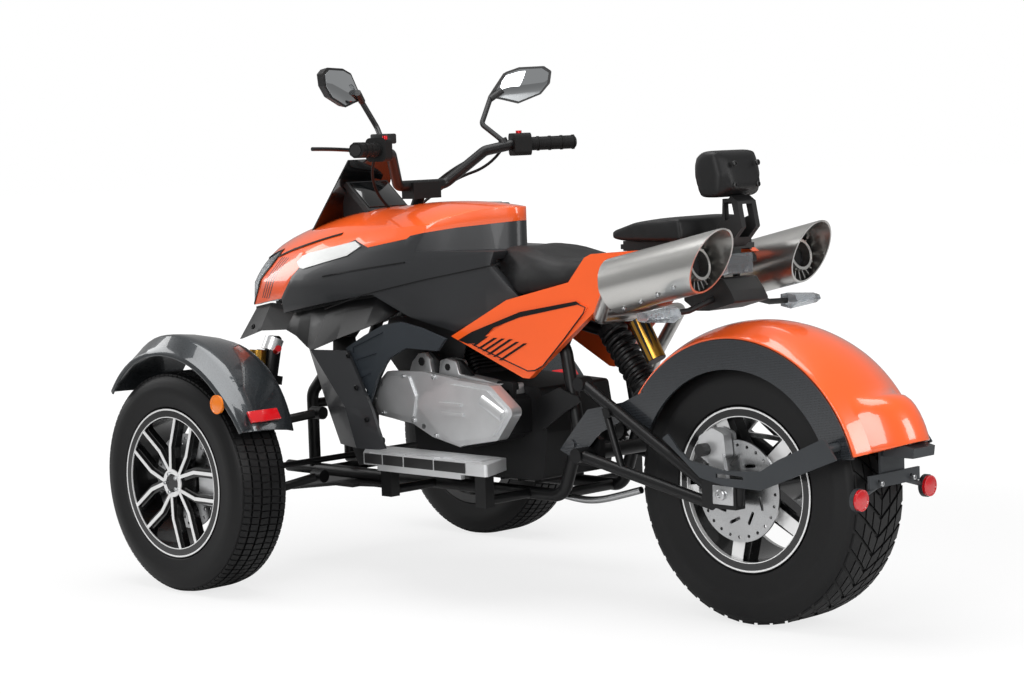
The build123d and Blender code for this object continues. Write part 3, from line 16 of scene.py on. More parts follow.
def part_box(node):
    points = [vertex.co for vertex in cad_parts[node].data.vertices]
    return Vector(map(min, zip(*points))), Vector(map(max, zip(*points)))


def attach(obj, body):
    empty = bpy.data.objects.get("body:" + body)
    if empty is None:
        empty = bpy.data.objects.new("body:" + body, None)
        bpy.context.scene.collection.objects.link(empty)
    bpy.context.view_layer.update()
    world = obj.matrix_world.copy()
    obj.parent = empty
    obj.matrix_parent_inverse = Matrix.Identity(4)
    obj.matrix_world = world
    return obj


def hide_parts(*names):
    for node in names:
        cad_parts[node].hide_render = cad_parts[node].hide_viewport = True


LOG = logging.getLogger("roadster")
MM = 0.001
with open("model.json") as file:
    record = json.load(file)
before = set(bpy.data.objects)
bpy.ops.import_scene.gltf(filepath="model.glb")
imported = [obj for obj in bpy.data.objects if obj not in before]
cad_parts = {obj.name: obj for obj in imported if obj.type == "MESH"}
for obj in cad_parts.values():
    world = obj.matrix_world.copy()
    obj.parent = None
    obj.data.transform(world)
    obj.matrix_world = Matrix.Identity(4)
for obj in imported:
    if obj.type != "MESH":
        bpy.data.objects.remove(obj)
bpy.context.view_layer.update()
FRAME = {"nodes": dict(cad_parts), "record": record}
SLOTS = {part["material_slot"] for part in FRAME["record"]["subparts"]}

Point = tuple[float, float, float]
Flat = tuple[float, float]
Piece = bpy.types.Object
Tree = bpy.types.NodeTree
Node = bpy.types.Node
Socket = bpy.types.NodeSocket

# Mirror across the middle plane, and the two hands of what comes in pairs.
MIRROR = Matrix.Scale(-1, 4, (0, 1, 0))
HANDS = (("left", 1), ("right", -1))
# Bench constants: distance in metres below which corners merge, and facets of bars and springs.
MERGE_DISTANCE = 0.00001
BAR_FACETS = 3
KNOTS_PER_TURN = 14
# Constants of the finishes, with lengths in metres.
COAT_ROUGHNESS = 0.04
LENS_CLARITY = 0.85
ACRYLIC_IOR = 1.49
WANDER_SCALE = 9.0
DULL_SPREAD = 0.15
MACHINED_METAL = 0.35
PALE_TOW = "34373b"
# Slashes on the nose: lean, pitch, share of black, and where they start and end.
SLASH_LEAN = 0.62
SLASH_PITCH = 0.0125
SLASH_SHARE = 0.42
SLASH_SPAN = (1.312, 1.362)
SLASH_HEIGHT = (0.735, 0.845)
# Machined faces of the wheels: end of the spokes, and the bright ring by its radii.
SPOKE_END = 0.172
RIM_RING = (0.1885, 0.1925)


# ---------------------------------------------------------------- colours and nodes
def linear(code: str, alpha: float = 1.0) -> tuple[float, float, float, float]:
    """Turn an sRGB hex colour into linear RGBA.

    Args:
        code: six hex digits, with or without a leading hash.
        alpha: opacity of the result.

    Returns:
        The linear colour that Blender's sockets take.
    """
    digits = code.lstrip("#")
    shares = [int(digits[i:i + 2], 16) / 255 for i in (0, 2, 4)]
    red, green, blue = (s / 12.92 if s <= 0.04045 else ((s + 0.055) / 1.055) ** 2.4 for s in shares)
    return red, green, blue, alpha


def add_node(tree: Tree, kind: str, settings: dict | None = None, inputs: dict | None = None) -> Node:
    """Add one node with its settings, values and links.

    Args:
        tree: node tree that gets the node.
        kind: Blender's node type name.
        settings: attributes set on the node.
        inputs: values or output sockets by input name or index.

    Returns:
        The new node.
    """
    made = tree.nodes.new(kind)
    for name, value in (settings or {}).items():
        setattr(made, name, value)
    for name, value in (inputs or {}).items():
        if isinstance(value, Socket):
            tree.links.new(value, made.inputs[name])
        else:
            made.inputs[name].default_value = value
    return made


def maths(tree: Tree, kind: str, first: Socket | float, second: Socket | float = 0.0) -> Socket:
    """Add one calculation to a node tree.

    Args:
        tree: node tree that gets the calculation.
        kind: name of the operation.
        first: first value.
        second: second value, which some operations ignore.

    Returns:
        The result's socket.
    """
    return add_node(tree, "ShaderNodeMath", {"operation": kind}, {0: first, 1: second}).outputs["Value"]


def between(tree: Tree, value: Socket, low: float, high: float) -> Socket:
    """Mask where a value lies between two limits.

    Args:
        tree: node tree that gets the mask.
        value: what is tested.
        low: lower limit.
        high: upper limit.

    Returns:
        The mask's socket, 1 between the limits.
    """
    above = maths(tree, "GREATER_THAN", value, low)
    below = maths(tree, "LESS_THAN", value, high)
    return maths(tree, "MULTIPLY", above, below)


class Surface(Enum):
    """How a finish was made, which decides its pattern."""

    PAINT = "clear-coated paint"
    FLAKE = "metallic paint"
    MOULDED = "grained moulding"
    CAST = "cast and blasted"
    BRUSHED = "brushed along its length"
    TURNED = "turned on a lathe"
    RUBBER = "moulded rubber"
    VINYL = "grained vinyl"
    WOVEN = "twill carbon"
    LENS = "clear moulded lens"
    MIRROR = "silvered glass"
    STRIPED = "lacquer with masked stripes"
    RIM = "enamelled casting with a machined face"


@dataclass(frozen=True)
class Finish:
    """One finish of the roadster, made into a node material.

    Attributes:
        name: material name.
        surface: how it was made.
        color: sRGB hex of the body colour.
        roughness: microfacet roughness.
        metallic: 1 for bare metal.
        coat: strength of the clear coat.
        grain_mm: size of the pattern's repeat in millimetres.
        relief_mm: height of the pattern's relief in millimetres.
        vary: share by which the colour wanders.
        stretch: object-space stretch of the pattern per axis.
        second: sRGB hex of the second colour of a two-tone finish.
        specular: strength of the plain reflection.
        face_at: distance from the middle plane in metres where a machined face starts.
        axle: point of the wheel's axis in metres, with Y left at 0.
        hub_r: radius of the black middle of a wheel in metres.
    """

    name: str
    surface: Surface
    color: str
    roughness: float = 0.5
    metallic: float = 0.0
    coat: float = 0.0
    grain_mm: float = 1.0
    relief_mm: float = 0.02
    vary: float = 0.08
    stretch: Point = (1.0, 1.0, 1.0)
    second: str = "0d0d0e"
    specular: float = 0.5
    face_at: float = 0.0
    axle: Point = (0.0, 0.0, 0.0)
    hub_r: float = 0.024

    def build(self) -> bpy.types.Material:
        """Make the material.

        Returns:
            The finished node material.
        """
        material = bpy.data.materials.new(self.name)
        material.use_nodes = True
        tree = material.node_tree
        shader = tree.nodes["Principled BSDF"]
        shader.inputs["Metallic"].default_value = self.metallic
        shader.inputs["Roughness"].default_value = self.roughness
        shader.inputs["Base Color"].default_value = linear(self.color)
        shader.inputs["Specular IOR Level"].default_value = self.specular
        shader.inputs["Coat Weight"].default_value = self.coat
        shader.inputs["Coat Roughness"].default_value = COAT_ROUGHNESS
        place = add_node(tree, "ShaderNodeTexCoord").outputs["Object"]
        spread = add_node(tree, "ShaderNodeMapping", inputs={"Vector": place, "Scale": self.stretch})
        self._pattern(tree, shader, spread.outputs["Vector"])
        return material

    def _pattern(self, tree: Tree, shader: Node, where: Socket) -> None:
        """Add the pattern that belongs to the surface.

        Args:
            tree: the material's node tree.
            shader: its principled shader.
            where: pattern coordinates in metres.
        """
        repeats = 1 / (self.grain_mm * MM)
        if self.surface is Surface.LENS:
            shader.inputs["Transmission Weight"].default_value = LENS_CLARITY
            shader.inputs["IOR"].default_value = ACRYLIC_IOR
            facets = add_node(tree, "ShaderNodeTexVoronoi", inputs={"Vector": where, "Scale": repeats})
            self._relief(tree, shader, facets.outputs["Distance"])
            return
        if self.surface is Surface.MIRROR:
            return
        if self.surface in (Surface.STRIPED, Surface.RIM):
            mask = self._slashes(tree, where) if self.surface is Surface.STRIPED else self._faces(tree, where)
            self._two_tone(tree, shader, mask)
            return
        if self.surface is Surface.WOVEN:
            self._weave(tree, shader, where)
            return
        broad = add_node(tree, "ShaderNodeTexNoise", inputs={
            "Vector": where, "Scale": WANDER_SCALE, "Detail": 3.0})
        height = self._grain(tree, where, repeats)
        self._wander(tree, shader, broad.outputs["Fac"], height)
        self._relief(tree, shader, height)

    def _grain(self, tree: Tree, where: Socket, repeats: float) -> Socket:
        """Make the height of the grain.

        Args:
            tree: the material's node tree.
            where: pattern coordinates in metres.
            repeats: grains in a metre.

        Returns:
            The socket that holds the height.
        """
        if self.surface is Surface.VINYL:
            cells = add_node(tree, "ShaderNodeTexVoronoi", {"feature": "DISTANCE_TO_EDGE"},
                             {"Vector": where, "Scale": repeats})
            soft = add_node(tree, "ShaderNodeMapRange", inputs={
                "Value": cells.outputs["Distance"], "From Max": 0.25, "To Max": 1.0})
            return soft.outputs["Result"]
        if self.surface is Surface.FLAKE:
            cells = add_node(tree, "ShaderNodeTexVoronoi", inputs={"Vector": where, "Scale": repeats})
            return cells.outputs["Color"]
        noise = add_node(tree, "ShaderNodeTexNoise", inputs={
            "Vector": where, "Scale": repeats, "Detail": 4.0, "Roughness": 0.6})
        return noise.outputs["Fac"]

    def _wander(self, tree: Tree, shader: Node, broad: Socket,
                fine: Socket) -> None:
        """Let colour and roughness wander a little across the piece.

        Args:
            tree: the material's node tree.
            shader: its principled shader.
            broad: slow noise.
            fine: the grain's height.
        """
        spread = {"To Min": 1 - self.vary, "To Max": 1 + self.vary}
        tone = add_node(tree, "ShaderNodeMapRange", inputs={
            "Value": broad, "From Min": 0.3, "From Max": 0.7, **spread})
        flake = add_node(tree, "ShaderNodeMapRange", inputs={"Value": fine, **spread})
        both = maths(tree, "MULTIPLY", tone.outputs["Result"], flake.outputs["Result"])
        color = add_node(tree, "ShaderNodeVectorMath", {"operation": "SCALE"}, {
            0: linear(self.color)[:3], "Scale": both})
        tree.links.new(color.outputs["Vector"], shader.inputs["Base Color"])
        dull = add_node(tree, "ShaderNodeMapRange", inputs={
            "Value": fine, "To Min": self.roughness * (1 - DULL_SPREAD),
            "To Max": min(1.0, self.roughness * (1 + DULL_SPREAD))})
        tree.links.new(dull.outputs["Result"], shader.inputs["Roughness"])

    def _relief(self, tree: Tree, shader: Node, height: Socket) -> None:
        """Turn a height into shading relief.

        Args:
            tree: the material's node tree.
            shader: its principled shader.
            height: relief from 0 to 1.
        """
        bump = add_node(tree, "ShaderNodeBump", inputs={
            "Height": height, "Distance": self.relief_mm * MM, "Strength": 1.0})
        tree.links.new(bump.outputs["Normal"], shader.inputs["Normal"])

    def _two_tone(self, tree: Tree, shader: Node, mask: Socket) -> None:
        """Show the second colour where the mask is 1.

        Args:
            tree: the material's node tree.
            shader: its principled shader.
            mask: 0 for the body colour and 1 for the second colour.
        """
        mix = add_node(tree, "ShaderNodeMix", {"data_type": "RGBA"})
        tree.links.new(mask, mix.inputs["Factor"])
        # The mix node's colour sockets: 6 and 7 in, and 2 out.
        mix.inputs[6].default_value = linear(self.color)
        mix.inputs[7].default_value = linear(self.second)
        tree.links.new(mix.outputs[2], shader.inputs["Base Color"])
        if self.surface is Surface.RIM:
            bare = maths(tree, "MULTIPLY", mask, MACHINED_METAL)
            tree.links.new(bare, shader.inputs["Metallic"])

    def _slashes(self, tree: Tree, where: Socket) -> Socket:
        """Mask the slanting black slashes low on the cheek of the nose.

        Args:
            tree: the material's node tree.
            where: pattern coordinates in metres.

        Returns:
            The mask's socket.
        """
        axes = add_node(tree, "ShaderNodeSeparateXYZ", inputs={"Vector": where}).outputs
        # X rises as Z falls along a slash, so their leaning sum is the same all along it.
        lean = maths(tree, "ADD", maths(tree, "MULTIPLY", axes["Z"], SLASH_LEAN), axes["X"])
        comb = maths(tree, "FRACT", maths(tree, "DIVIDE", lean, SLASH_PITCH))
        bars = maths(tree, "LESS_THAN", comb, SLASH_SHARE)
        inside = between(tree, lean, *SLASH_SPAN)
        height = between(tree, axes["Z"], *SLASH_HEIGHT)
        return maths(tree, "MULTIPLY", maths(tree, "MULTIPLY", bars, inside), height)

    def _faces(self, tree: Tree, where: Socket) -> Socket:
        """Mask the outermost faces of a wheel by their distance from the middle plane.

        Args:
            tree: the material's node tree.
            where: pattern coordinates in metres.

        Returns:
            The mask's socket.
        """
        axes = add_node(tree, "ShaderNodeSeparateXYZ", inputs={"Vector": where}).outputs
        flat = add_node(tree, "ShaderNodeCombineXYZ", inputs={"X": axes["X"], "Z": axes["Z"]})
        reach = add_node(tree, "ShaderNodeVectorMath", {"operation": "DISTANCE"}, {
            0: flat.outputs["Vector"], 1: self.axle}).outputs["Value"]
        face = maths(tree, "GREATER_THAN", maths(tree, "ABSOLUTE", axes["Y"]), self.face_at)
        spokes = between(tree, reach, self.hub_r, SPOKE_END)
        ring = between(tree, reach, *RIM_RING)
        return maths(tree, "MULTIPLY", face, maths(tree, "ADD", spokes, ring))

    def _weave(self, tree: Tree, shader: Node, where: Socket) -> None:
        """Draw twill: bands along one diagonal, broken by the crossing tows.

        Args:
            tree: the material's node tree.
            shader: its principled shader.
            where: pattern coordinates in metres.
        """
        pitch = 1 / (self.grain_mm * MM)
        turn = add_node(tree, "ShaderNodeMapping", inputs={
            "Vector": where, "Rotation": (0.0, math.radians(45), 0.0)})
        checks = add_node(tree, "ShaderNodeTexChecker", inputs={
            "Vector": turn.outputs["Vector"], "Scale": pitch,
            "Color1": (1.0, 1.0, 1.0, 1.0), "Color2": (0.0, 0.0, 0.0, 1.0)})
        mix = add_node(tree, "ShaderNodeMix", {"data_type": "RGBA"}, {
            "Factor": checks.outputs["Fac"], "A": linear(self.color), "B": linear(PALE_TOW)})
        tree.links.new(mix.outputs["Result"], shader.inputs["Base Color"])
        self._relief(tree, shader, checks.outputs["Fac"])


FINISHES = {
    # Filled rubber from a mould: nearly matt, warm black.
    "tyre": Finish(
        "tyre_rubber", Surface.RUBBER, "0b0b0c", 0.46, specular=0.28, grain_mm=1.4, relief_mm=0.05),
    # Discs, screws and clamps in ground steel.
    "brake_steel": Finish("ground_steel", Surface.TURNED, "b9babb", 0.28, 1.0, grain_mm=0.8, relief_mm=0.02),
    # Forgings left black, with a coarse skin.
    "cast_iron": Finish(
        "black_forging", Surface.CAST, "1a1b1c", 0.55, 0.2, grain_mm=2.2, relief_mm=0.1, specular=0.25),
    # Aluminium castings, blasted pale.
    "cast_aluminium": Finish(
        "blasted_aluminium", Surface.CAST, "d6d7d8", 0.36, 0.85, grain_mm=1.2, relief_mm=0.04),
    # Front fenders in charcoal paint with fine metal flake under a clear coat.
    "charcoal_gloss": Finish(
        "charcoal_metallic", Surface.FLAKE, "33373a", 0.3, 0.55, 1.0, 1.1, relief_mm=0.004, vary=0.14),
    # Side covers and shields in satin charcoal plastic.
    "charcoal_satin": Finish(
        "charcoal_satin", Surface.MOULDED, "222325", 0.38, 0.15, 0.15, 1.3, relief_mm=0.02),
    # Tubes and stays in baked black powder.
    "black_frame": Finish(
        "black_powder_coat", Surface.PAINT, "0e0e0f", 0.38, grain_mm=1.6, relief_mm=0.03, specular=0.3),
    # Plain black mouldings.
    "black_plastic": Finish("black_moulding", Surface.MOULDED, "0d0d0e", 0.48, grain_mm=1.2, relief_mm=0.03),
    # Soft rubber of the grips and hoses.
    "grip_rubber": Finish(
        "grip_rubber", Surface.RUBBER, "101010", 0.6, grain_mm=1.6, relief_mm=0.05, specular=0.2),
    # Orange lacquer of the body under a clear coat.
    "orange_paint": Finish(
        "orange_lacquer", Surface.PAINT, "ec5a1c", 0.3, coat=1.0, grain_mm=3.0, relief_mm=0.006, vary=0.02),
    # Clear moulded lenses with facets behind them.
    "clear_lens": Finish("clear_lens", Surface.LENS, "b9bec2", 0.08, grain_mm=9.0, relief_mm=0.35),
    # Smoked acrylic of the windscreen and the display.
    "dark_screen": Finish(
        "smoked_acrylic", Surface.PAINT, "0b0c0d", 0.08, coat=0.8, grain_mm=9.0, relief_mm=0.002),
    # Heatproof enamel of the engine block.
    "engine_black": Finish(
        "engine_enamel", Surface.CAST, "161617", 0.5, 0.1, grain_mm=2.0, relief_mm=0.08, specular=0.25),
    # Grained vinyl of the seats.
    "seat_vinyl": Finish(
        "seat_vinyl", Surface.VINYL, "0d0d0e", 0.5, grain_mm=2.0, relief_mm=0.06, specular=0.3),
    # Stainless mufflers, brushed along their length.
    "brushed_stainless": Finish(
        "brushed_stainless", Surface.BRUSHED, "c6c5c2", 0.3, 1.0, grain_mm=1.2, relief_mm=0.015,
        stretch=(0.06, 1.0, 1.0)),
    # Twill carbon under lacquer.
    "carbon_trim": Finish("carbon_twill", Surface.WOVEN, "1b1d20", 0.26, 0.15, 0.85, 2.6, relief_mm=0.01),
    # Small covers and springs in deep black enamel.
    "black_gloss": Finish(
        "deep_black_enamel", Surface.PAINT, "0b0b0c", 0.42, coat=0.06, grain_mm=4.0, relief_mm=0.006,
        specular=0.25),
    # Vent mouldings in dyed slate plastic.
    "slate_plastic": Finish(
        "slate_moulding", Surface.MOULDED, "23282d", 0.46, grain_mm=1.3, relief_mm=0.03, specular=0.35),
    # Lacquered nose cheek with black slashes masked into the paint.
    "striped_orange": Finish("striped_lacquer", Surface.STRIPED, "e8541b", 0.3, coat=1.0),
    # Black rear wheel with its spoke faces and one ring machined bright.
    "rear_rim_finish": Finish(
        "machined_rear_rim", Surface.RIM, "0d0d0e", 0.25, coat=0.4, second="e8e8e8", face_at=0.0852,
        axle=(-0.65, 0.0, 0.321), hub_r=0.03),
    # Black front wheels with their spoke faces and one ring machined bright.
    "front_rim_finish": Finish(
        "machined_front_rim", Surface.RIM, "0d0d0e", 0.25, coat=0.4, second="e8e8e8", face_at=0.6128,
        axle=(0.82, 0.0, 0.286)),
    # Damper canisters in gold anodising.
    "gold_anodised": Finish(
        "gold_anodising", Surface.TURNED, "b98b3c", 0.3, 1.0, grain_mm=1.0, relief_mm=0.01),
    # Knobs and switches in red anodising.
    "red_anodised": Finish("red_anodising", Surface.TURNED, "b3131b", 0.3, 0.6, grain_mm=1.0, relief_mm=0.01),
    # Red reflectors with prisms moulded behind the face.
    "red_reflector": Finish(
        "red_prism_reflector", Surface.PAINT, "c01018", 0.12, coat=0.9, grain_mm=3.0, relief_mm=0.15),
    # Amber reflectors of the same make.
    "amber_reflector": Finish(
        "amber_prism_reflector", Surface.PAINT, "e87a12", 0.12, coat=0.9, grain_mm=3.0, relief_mm=0.15),
    # Bare badge plate with a bright brushed face.
    "brushed_plaque": Finish(
        "brushed_badge_plate", Surface.BRUSHED, "c4c5c4", 0.42, 0.35, grain_mm=1.0, relief_mm=0.01,
        stretch=(0.08, 1.0, 1.0)),
    # Silvered glass of the mirrors.
    "mirror_silver": Finish("silvered_glass", Surface.MIRROR, "d5d8da", 0.03, 1.0),
    # Plates and brackets in satin grey enamel.
    "grey_plate": Finish(
        "satin_grey_enamel", Surface.PAINT, "34373a", 0.4, 0.3, grain_mm=1.5, relief_mm=0.02),
}


class Library:
    """The finishes as materials, each made once."""

    def __init__(self) -> None:
        """Start with no material made."""
        self._made: dict[str, bpy.types.Material] = {}

    def get(self, name: str) -> bpy.types.Material:
        """Give the material of a finish.

        Args:
            name: key in FINISHES.

        Returns:
            The material, made at the first call.
        """
        if name not in self._made:
            self._made[name] = FINISHES[name].build()
        return self._made[name]


LIBRARY = Library()


# ---------------------------------------------------------------- studio
@dataclass
class Studio:
    """Camera, lamps, floor and world around the roadster."""

    camera_at: Point = (-4.2229, 4.4809, 1.1769)
    yaw: float = 0.7941
    pitch: float = 0.0898
    roll: float = -0.0318
    lens_mm: float = 86.47
    sensor_mm: float = 36.0
    # Soft boxes: name, place, what they aim at, size in metres and power in watts.
    lamps: tuple = (
        ("lamp_top", (0.2, 0.4, 3.6), (0.0, 0.0, 0.4), 3.0, 120.0),
        ("lamp_left", (-1.6, 4.2, 2.0), (0.2, 0.0, 0.5), 2.2, 100.0),
        ("lamp_rear", (-4.0, -0.6, 1.9), (-0.4, 0.0, 0.6), 1.8, 72.0),
        ("lamp_front", (4.2, 1.4, 2.2), (0.4, 0.0, 0.5), 2.2, 55.0),
    )
    # Floor: size and gap under the wheels in metres, grey of its paper, strength of its glow, and the
    # distances in metres and shares between which the glow takes over.
    floor_size: float = 80.0
    floor_gap: float = 0.0005
    paper: float = 0.62
    glow: float = 1.08
    fade_from: float = 1.2
    fade_to: float = 3.2
    near_share: float = 0.72
    world_light: float = 0.34

    def build(self) -> None:
        """Set up everything that isn't the object."""
        self._camera()
        self._lamps()
        self._floor()
        self._world()
        bpy.context.scene.view_settings.view_transform = "Standard"

    def _camera(self) -> None:
        """Place the camera at its three-quarter rear view."""
        ahead = Vector((math.cos(self.yaw) * math.cos(self.pitch), -math.sin(self.yaw) * math.cos(self.pitch),
                        -math.sin(self.pitch)))
        right = ahead.cross(Vector((0, 0, 1))).normalized()
        up = right.cross(ahead)
        turned_right = right * math.cos(self.roll) + up * math.sin(self.roll)
        turned_up = up * math.cos(self.roll) - right * math.sin(self.roll)
        data = bpy.data.cameras.new("camera")
        data.lens = self.lens_mm
        data.sensor_width = self.sensor_mm
        camera = bpy.data.objects.new("camera", data)
        bpy.context.scene.collection.objects.link(camera)
        camera.matrix_world = Matrix.Translation(self.camera_at) @ Matrix(
            (turned_right, turned_up, -ahead)).transposed().to_4x4()
        bpy.context.scene.camera = camera

    def _lamps(self) -> None:
        """Hang soft boxes over the object and beside the camera."""
        for name, at, aim, size, watts in self.lamps:
            data = bpy.data.lights.new(name, "AREA")
            data.size = size
            data.energy = watts
            lamp = bpy.data.objects.new(name, data)
            lamp.location = at
            lamp.rotation_euler = (Vector(aim) - Vector(at)).to_track_quat("-Z", "Y").to_euler()
            bpy.context.scene.collection.objects.link(lamp)

    def _floor(self) -> None:
        """Lay a pale floor that keeps the object's shadow."""
        bpy.ops.mesh.primitive_plane_add(size=self.floor_size, location=(0.0, 0.0, -self.floor_gap))
        floor = bpy.context.active_object
        floor.name = "studio_floor"
        material = bpy.data.materials.new("pale_floor")
        material.use_nodes = True
        tree = material.node_tree
        tree.nodes.clear()
        ray = add_node(tree, "ShaderNodeLightPath")
        spot = add_node(tree, "ShaderNodeTexCoord").outputs["Object"]
        reach = add_node(tree, "ShaderNodeVectorMath", {"operation": "LENGTH"}, {0: spot}).outputs["Value"]
        fade = add_node(tree, "ShaderNodeMapRange", {"interpolation_type": "SMOOTHSTEP"}, {
            "Value": reach, "From Min": self.fade_from, "From Max": self.fade_to, "To Min": self.near_share,
            "To Max": 1.0})
        share = maths(tree, "MULTIPLY", ray.outputs["Is Camera Ray"], fade.outputs["Result"])
        paper = add_node(tree, "ShaderNodeBsdfDiffuse", inputs={"Color": (self.paper,) * 3 + (1.0,)})
        glow = add_node(tree, "ShaderNodeEmission", inputs={
            "Color": (1.0, 1.0, 1.0, 1.0), "Strength": self.glow})
        mixed = add_node(tree, "ShaderNodeMixShader", inputs={
            0: share, 1: paper.outputs["BSDF"], 2: glow.outputs["Emission"]})
        add_node(tree, "ShaderNodeOutputMaterial", inputs={"Surface": mixed.outputs["Shader"]})
        floor.data.materials.append(material)

    def _world(self) -> None:
        """Give the world a soft light and a white view."""
        world = bpy.data.worlds.new("studio_world")
        bpy.context.scene.world = world
        world.use_nodes = True
        tree = world.node_tree
        tree.nodes.clear()
        ray = add_node(tree, "ShaderNodeLightPath")
        seen = maths(tree, "MAXIMUM", ray.outputs["Is Camera Ray"], ray.outputs["Is Transmission Ray"])
        light = add_node(tree, "ShaderNodeBackground", inputs={
            "Color": (1, 1, 1, 1), "Strength": self.world_light})
        view = add_node(tree, "ShaderNodeBackground", inputs={"Color": (1, 1, 1, 1), "Strength": 1.0})
        mixed = add_node(tree, "ShaderNodeMixShader", inputs={
            0: seen, 1: light.outputs["Background"], 2: view.outputs["Background"]})
        add_node(tree, "ShaderNodeOutputWorld", inputs={"Surface": mixed.outputs["Shader"]})


class FrameDress:
    """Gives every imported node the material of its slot, or a special one."""

    special = {"rear_rim": "rear_rim_finish", "front_rim_left": "front_rim_finish",
               "front_rim_right": "front_rim_finish", "tail_lamp": "clear_lens"}

    def build(self) -> None:
        """Assign the finishes."""
        slots = {part["node"]: part["material_slot"] for part in FRAME["record"]["subparts"]}
        for name, piece in FRAME["nodes"].items():
            finish = self.special.get(name, slots[name])
            piece.data.materials.clear()
            piece.data.materials.append(LIBRARY.get(finish))
            LOG.info("dressed %s in %s", name, finish)


# ---------------------------------------------------------------- bench
def clear_selection() -> None:
    """Leave edit mode and deselect everything."""
    if bpy.context.object and bpy.context.object.mode != "OBJECT":
        bpy.ops.object.mode_set(mode="OBJECT")
    bpy.ops.object.select_all(action="DESELECT")


def pick(*pieces: Piece) -> Piece:
    """Select some pieces and make the first one active.

    Args:
        pieces: objects to select.

    Returns:
        The active piece.
    """
    clear_selection()
    for piece in pieces:
        piece.select_set(True)
    bpy.context.view_layer.objects.active = pieces[0]
    return pieces[0]


def millimetres(points: Iterable[Sequence[float]]) -> list[Vector]:
    """Turn points in millimetres into vectors in metres.

    Args:
        points: X, Y and Z of each point in millimetres.

    Returns:
        The points as vectors in metres.
    """
    return [Vector(p) * MM for p in points]


def discard(*pieces: Piece) -> None:
    """Drop pieces that only served to make others.

    Args:
        pieces: objects to remove.
    """
    for piece in pieces:
        bpy.data.objects.remove(piece)


def add_ring(points: Sequence[Vector], filled: bool = False) -> Piece:
    """Add a closed ring of edges, or a face, through the points.

    Args:
        points: corners in metres, in order.
        filled: give the ring a face.

    Returns:
        The ring's object.
    """
    clear_selection()
    bpy.ops.mesh.primitive_circle_add(vertices=len(points), fill_type="NGON" if filled else "NOTHING")
    ring = bpy.context.active_object
    for corner, point in zip(ring.data.vertices, points):
        corner.co = point
    return ring


def edit_all(piece: Piece) -> None:
    """Enter edit mode with all of a piece selected.

    Args:
        piece: what is edited.
    """
    pick(piece)
    bpy.ops.object.mode_set(mode="EDIT")
    bpy.ops.mesh.select_all(action="SELECT")


def tidy_mesh(piece: Piece) -> None:
    """Merge doubles and point the faces outwards.

    Args:
        piece: mesh to clean.
    """
    edit_all(piece)
    bpy.ops.mesh.remove_doubles(threshold=MERGE_DISTANCE)
    bpy.ops.mesh.normals_make_consistent(inside=False)
    bpy.ops.object.mode_set(mode="OBJECT")


def round_edges(piece: Piece, width_mm: float, segments: int = 2, angle: float = 40) -> None:
    """Bevel the sharp edges of a piece.

    Args:
        piece: what is rounded.
        width_mm: width of the bevel.
        segments: facets across the bevel.
        angle: smallest angle between faces that counts as an edge, in degrees.
    """
    pick(piece)
    bevel = piece.modifiers.new("rounding", "BEVEL")
    bevel.width = width_mm * MM
    bevel.segments = segments
    bevel.limit_method = "ANGLE"
    bevel.angle_limit = math.radians(angle)
    bpy.ops.object.modifier_apply(modifier=bevel.name)


def slab(points: Sequence[Sequence[float]], depth: Sequence[float], bevel_mm: float = 0.0) -> Piece:
    """Make a plate from an outline pushed along a direction.

    Args:
        points: outline corners in millimetres.
        depth: push in millimetres.
        bevel_mm: rounding of the plate's edges.

    Returns:
        The plate.
    """
    plate = add_ring(millimetres(points), filled=True)
    edit_all(plate)
    bpy.ops.mesh.extrude_region_move(TRANSFORM_OT_translate={"value": tuple(Vector(depth) * MM)})
    tidy_mesh(plate)
    if bevel_mm:
        round_edges(plate, bevel_mm)
    return plate


def spun(profile: Sequence[tuple[float, float]], centre: Point, steps: int) -> Piece:
    """Turn a closed profile about a Y axis.

    Args:
        profile: corners as Y and radius, in millimetres.
        centre: point of the axis in millimetres.
        steps: facets round the axis.

    Returns:
        The turned piece.
    """
    x, middle, axis_z = centre
    turned = add_ring(millimetres((x, middle + y, axis_z + radius) for y, radius in profile))
    edit_all(turned)
    bpy.ops.mesh.spin(steps=steps, angle=math.tau, center=tuple(Vector(centre) * MM), axis=(0, 1, 0))
    tidy_mesh(turned)
    return turned


def skinned(rings: Sequence[Sequence[Vector]]) -> Piece:
    """Close a skin over a row of rings with the same number of corners.

    Args:
        rings: rings in order, in metres.

    Returns:
        The closed skin.
    """
    loops = [add_ring(ring) for ring in rings]
    skin = pick(*loops)
    bpy.ops.object.join()
    edit_all(skin)
    bpy.ops.mesh.bridge_edge_loops()
    bpy.ops.mesh.select_all(action="DESELECT")
    bpy.ops.mesh.select_non_manifold()
    bpy.ops.mesh.edge_face_add()
    tidy_mesh(skin)
    return skin


def combine(piece: Piece, tool: Piece, how: str, keep_tool: bool = False) -> Piece:
    """Cut, intersect or join a piece with a tool solid.

    Args:
        piece: what is changed.
        tool: solid that changes it.
        how: name of the boolean operation.
        keep_tool: leave the tool in the scene.

    Returns:
        The changed piece.
    """
    pick(piece)
    step = piece.modifiers.new("cut", "BOOLEAN")
    step.operation = how
    step.object = tool
    step.solver = "EXACT"
    bpy.ops.object.modifier_apply(modifier=step.name)
    if not keep_tool:
        discard(tool)
    return piece


def twin(piece: Piece, matrix: Matrix | None = None) -> Piece:
    """Copy a piece with its own mesh, moved by a matrix.

    Args:
        piece: what is copied.
        matrix: move of the copy in metres.

    Returns:
        The copy.
    """
    copy = piece.copy()
    copy.data = piece.data.copy()
    bpy.context.scene.collection.objects.link(copy)
    if matrix is not None:
        copy.data.transform(matrix)
        if matrix.determinant() < 0:
            copy.data.flip_normals()
    return copy


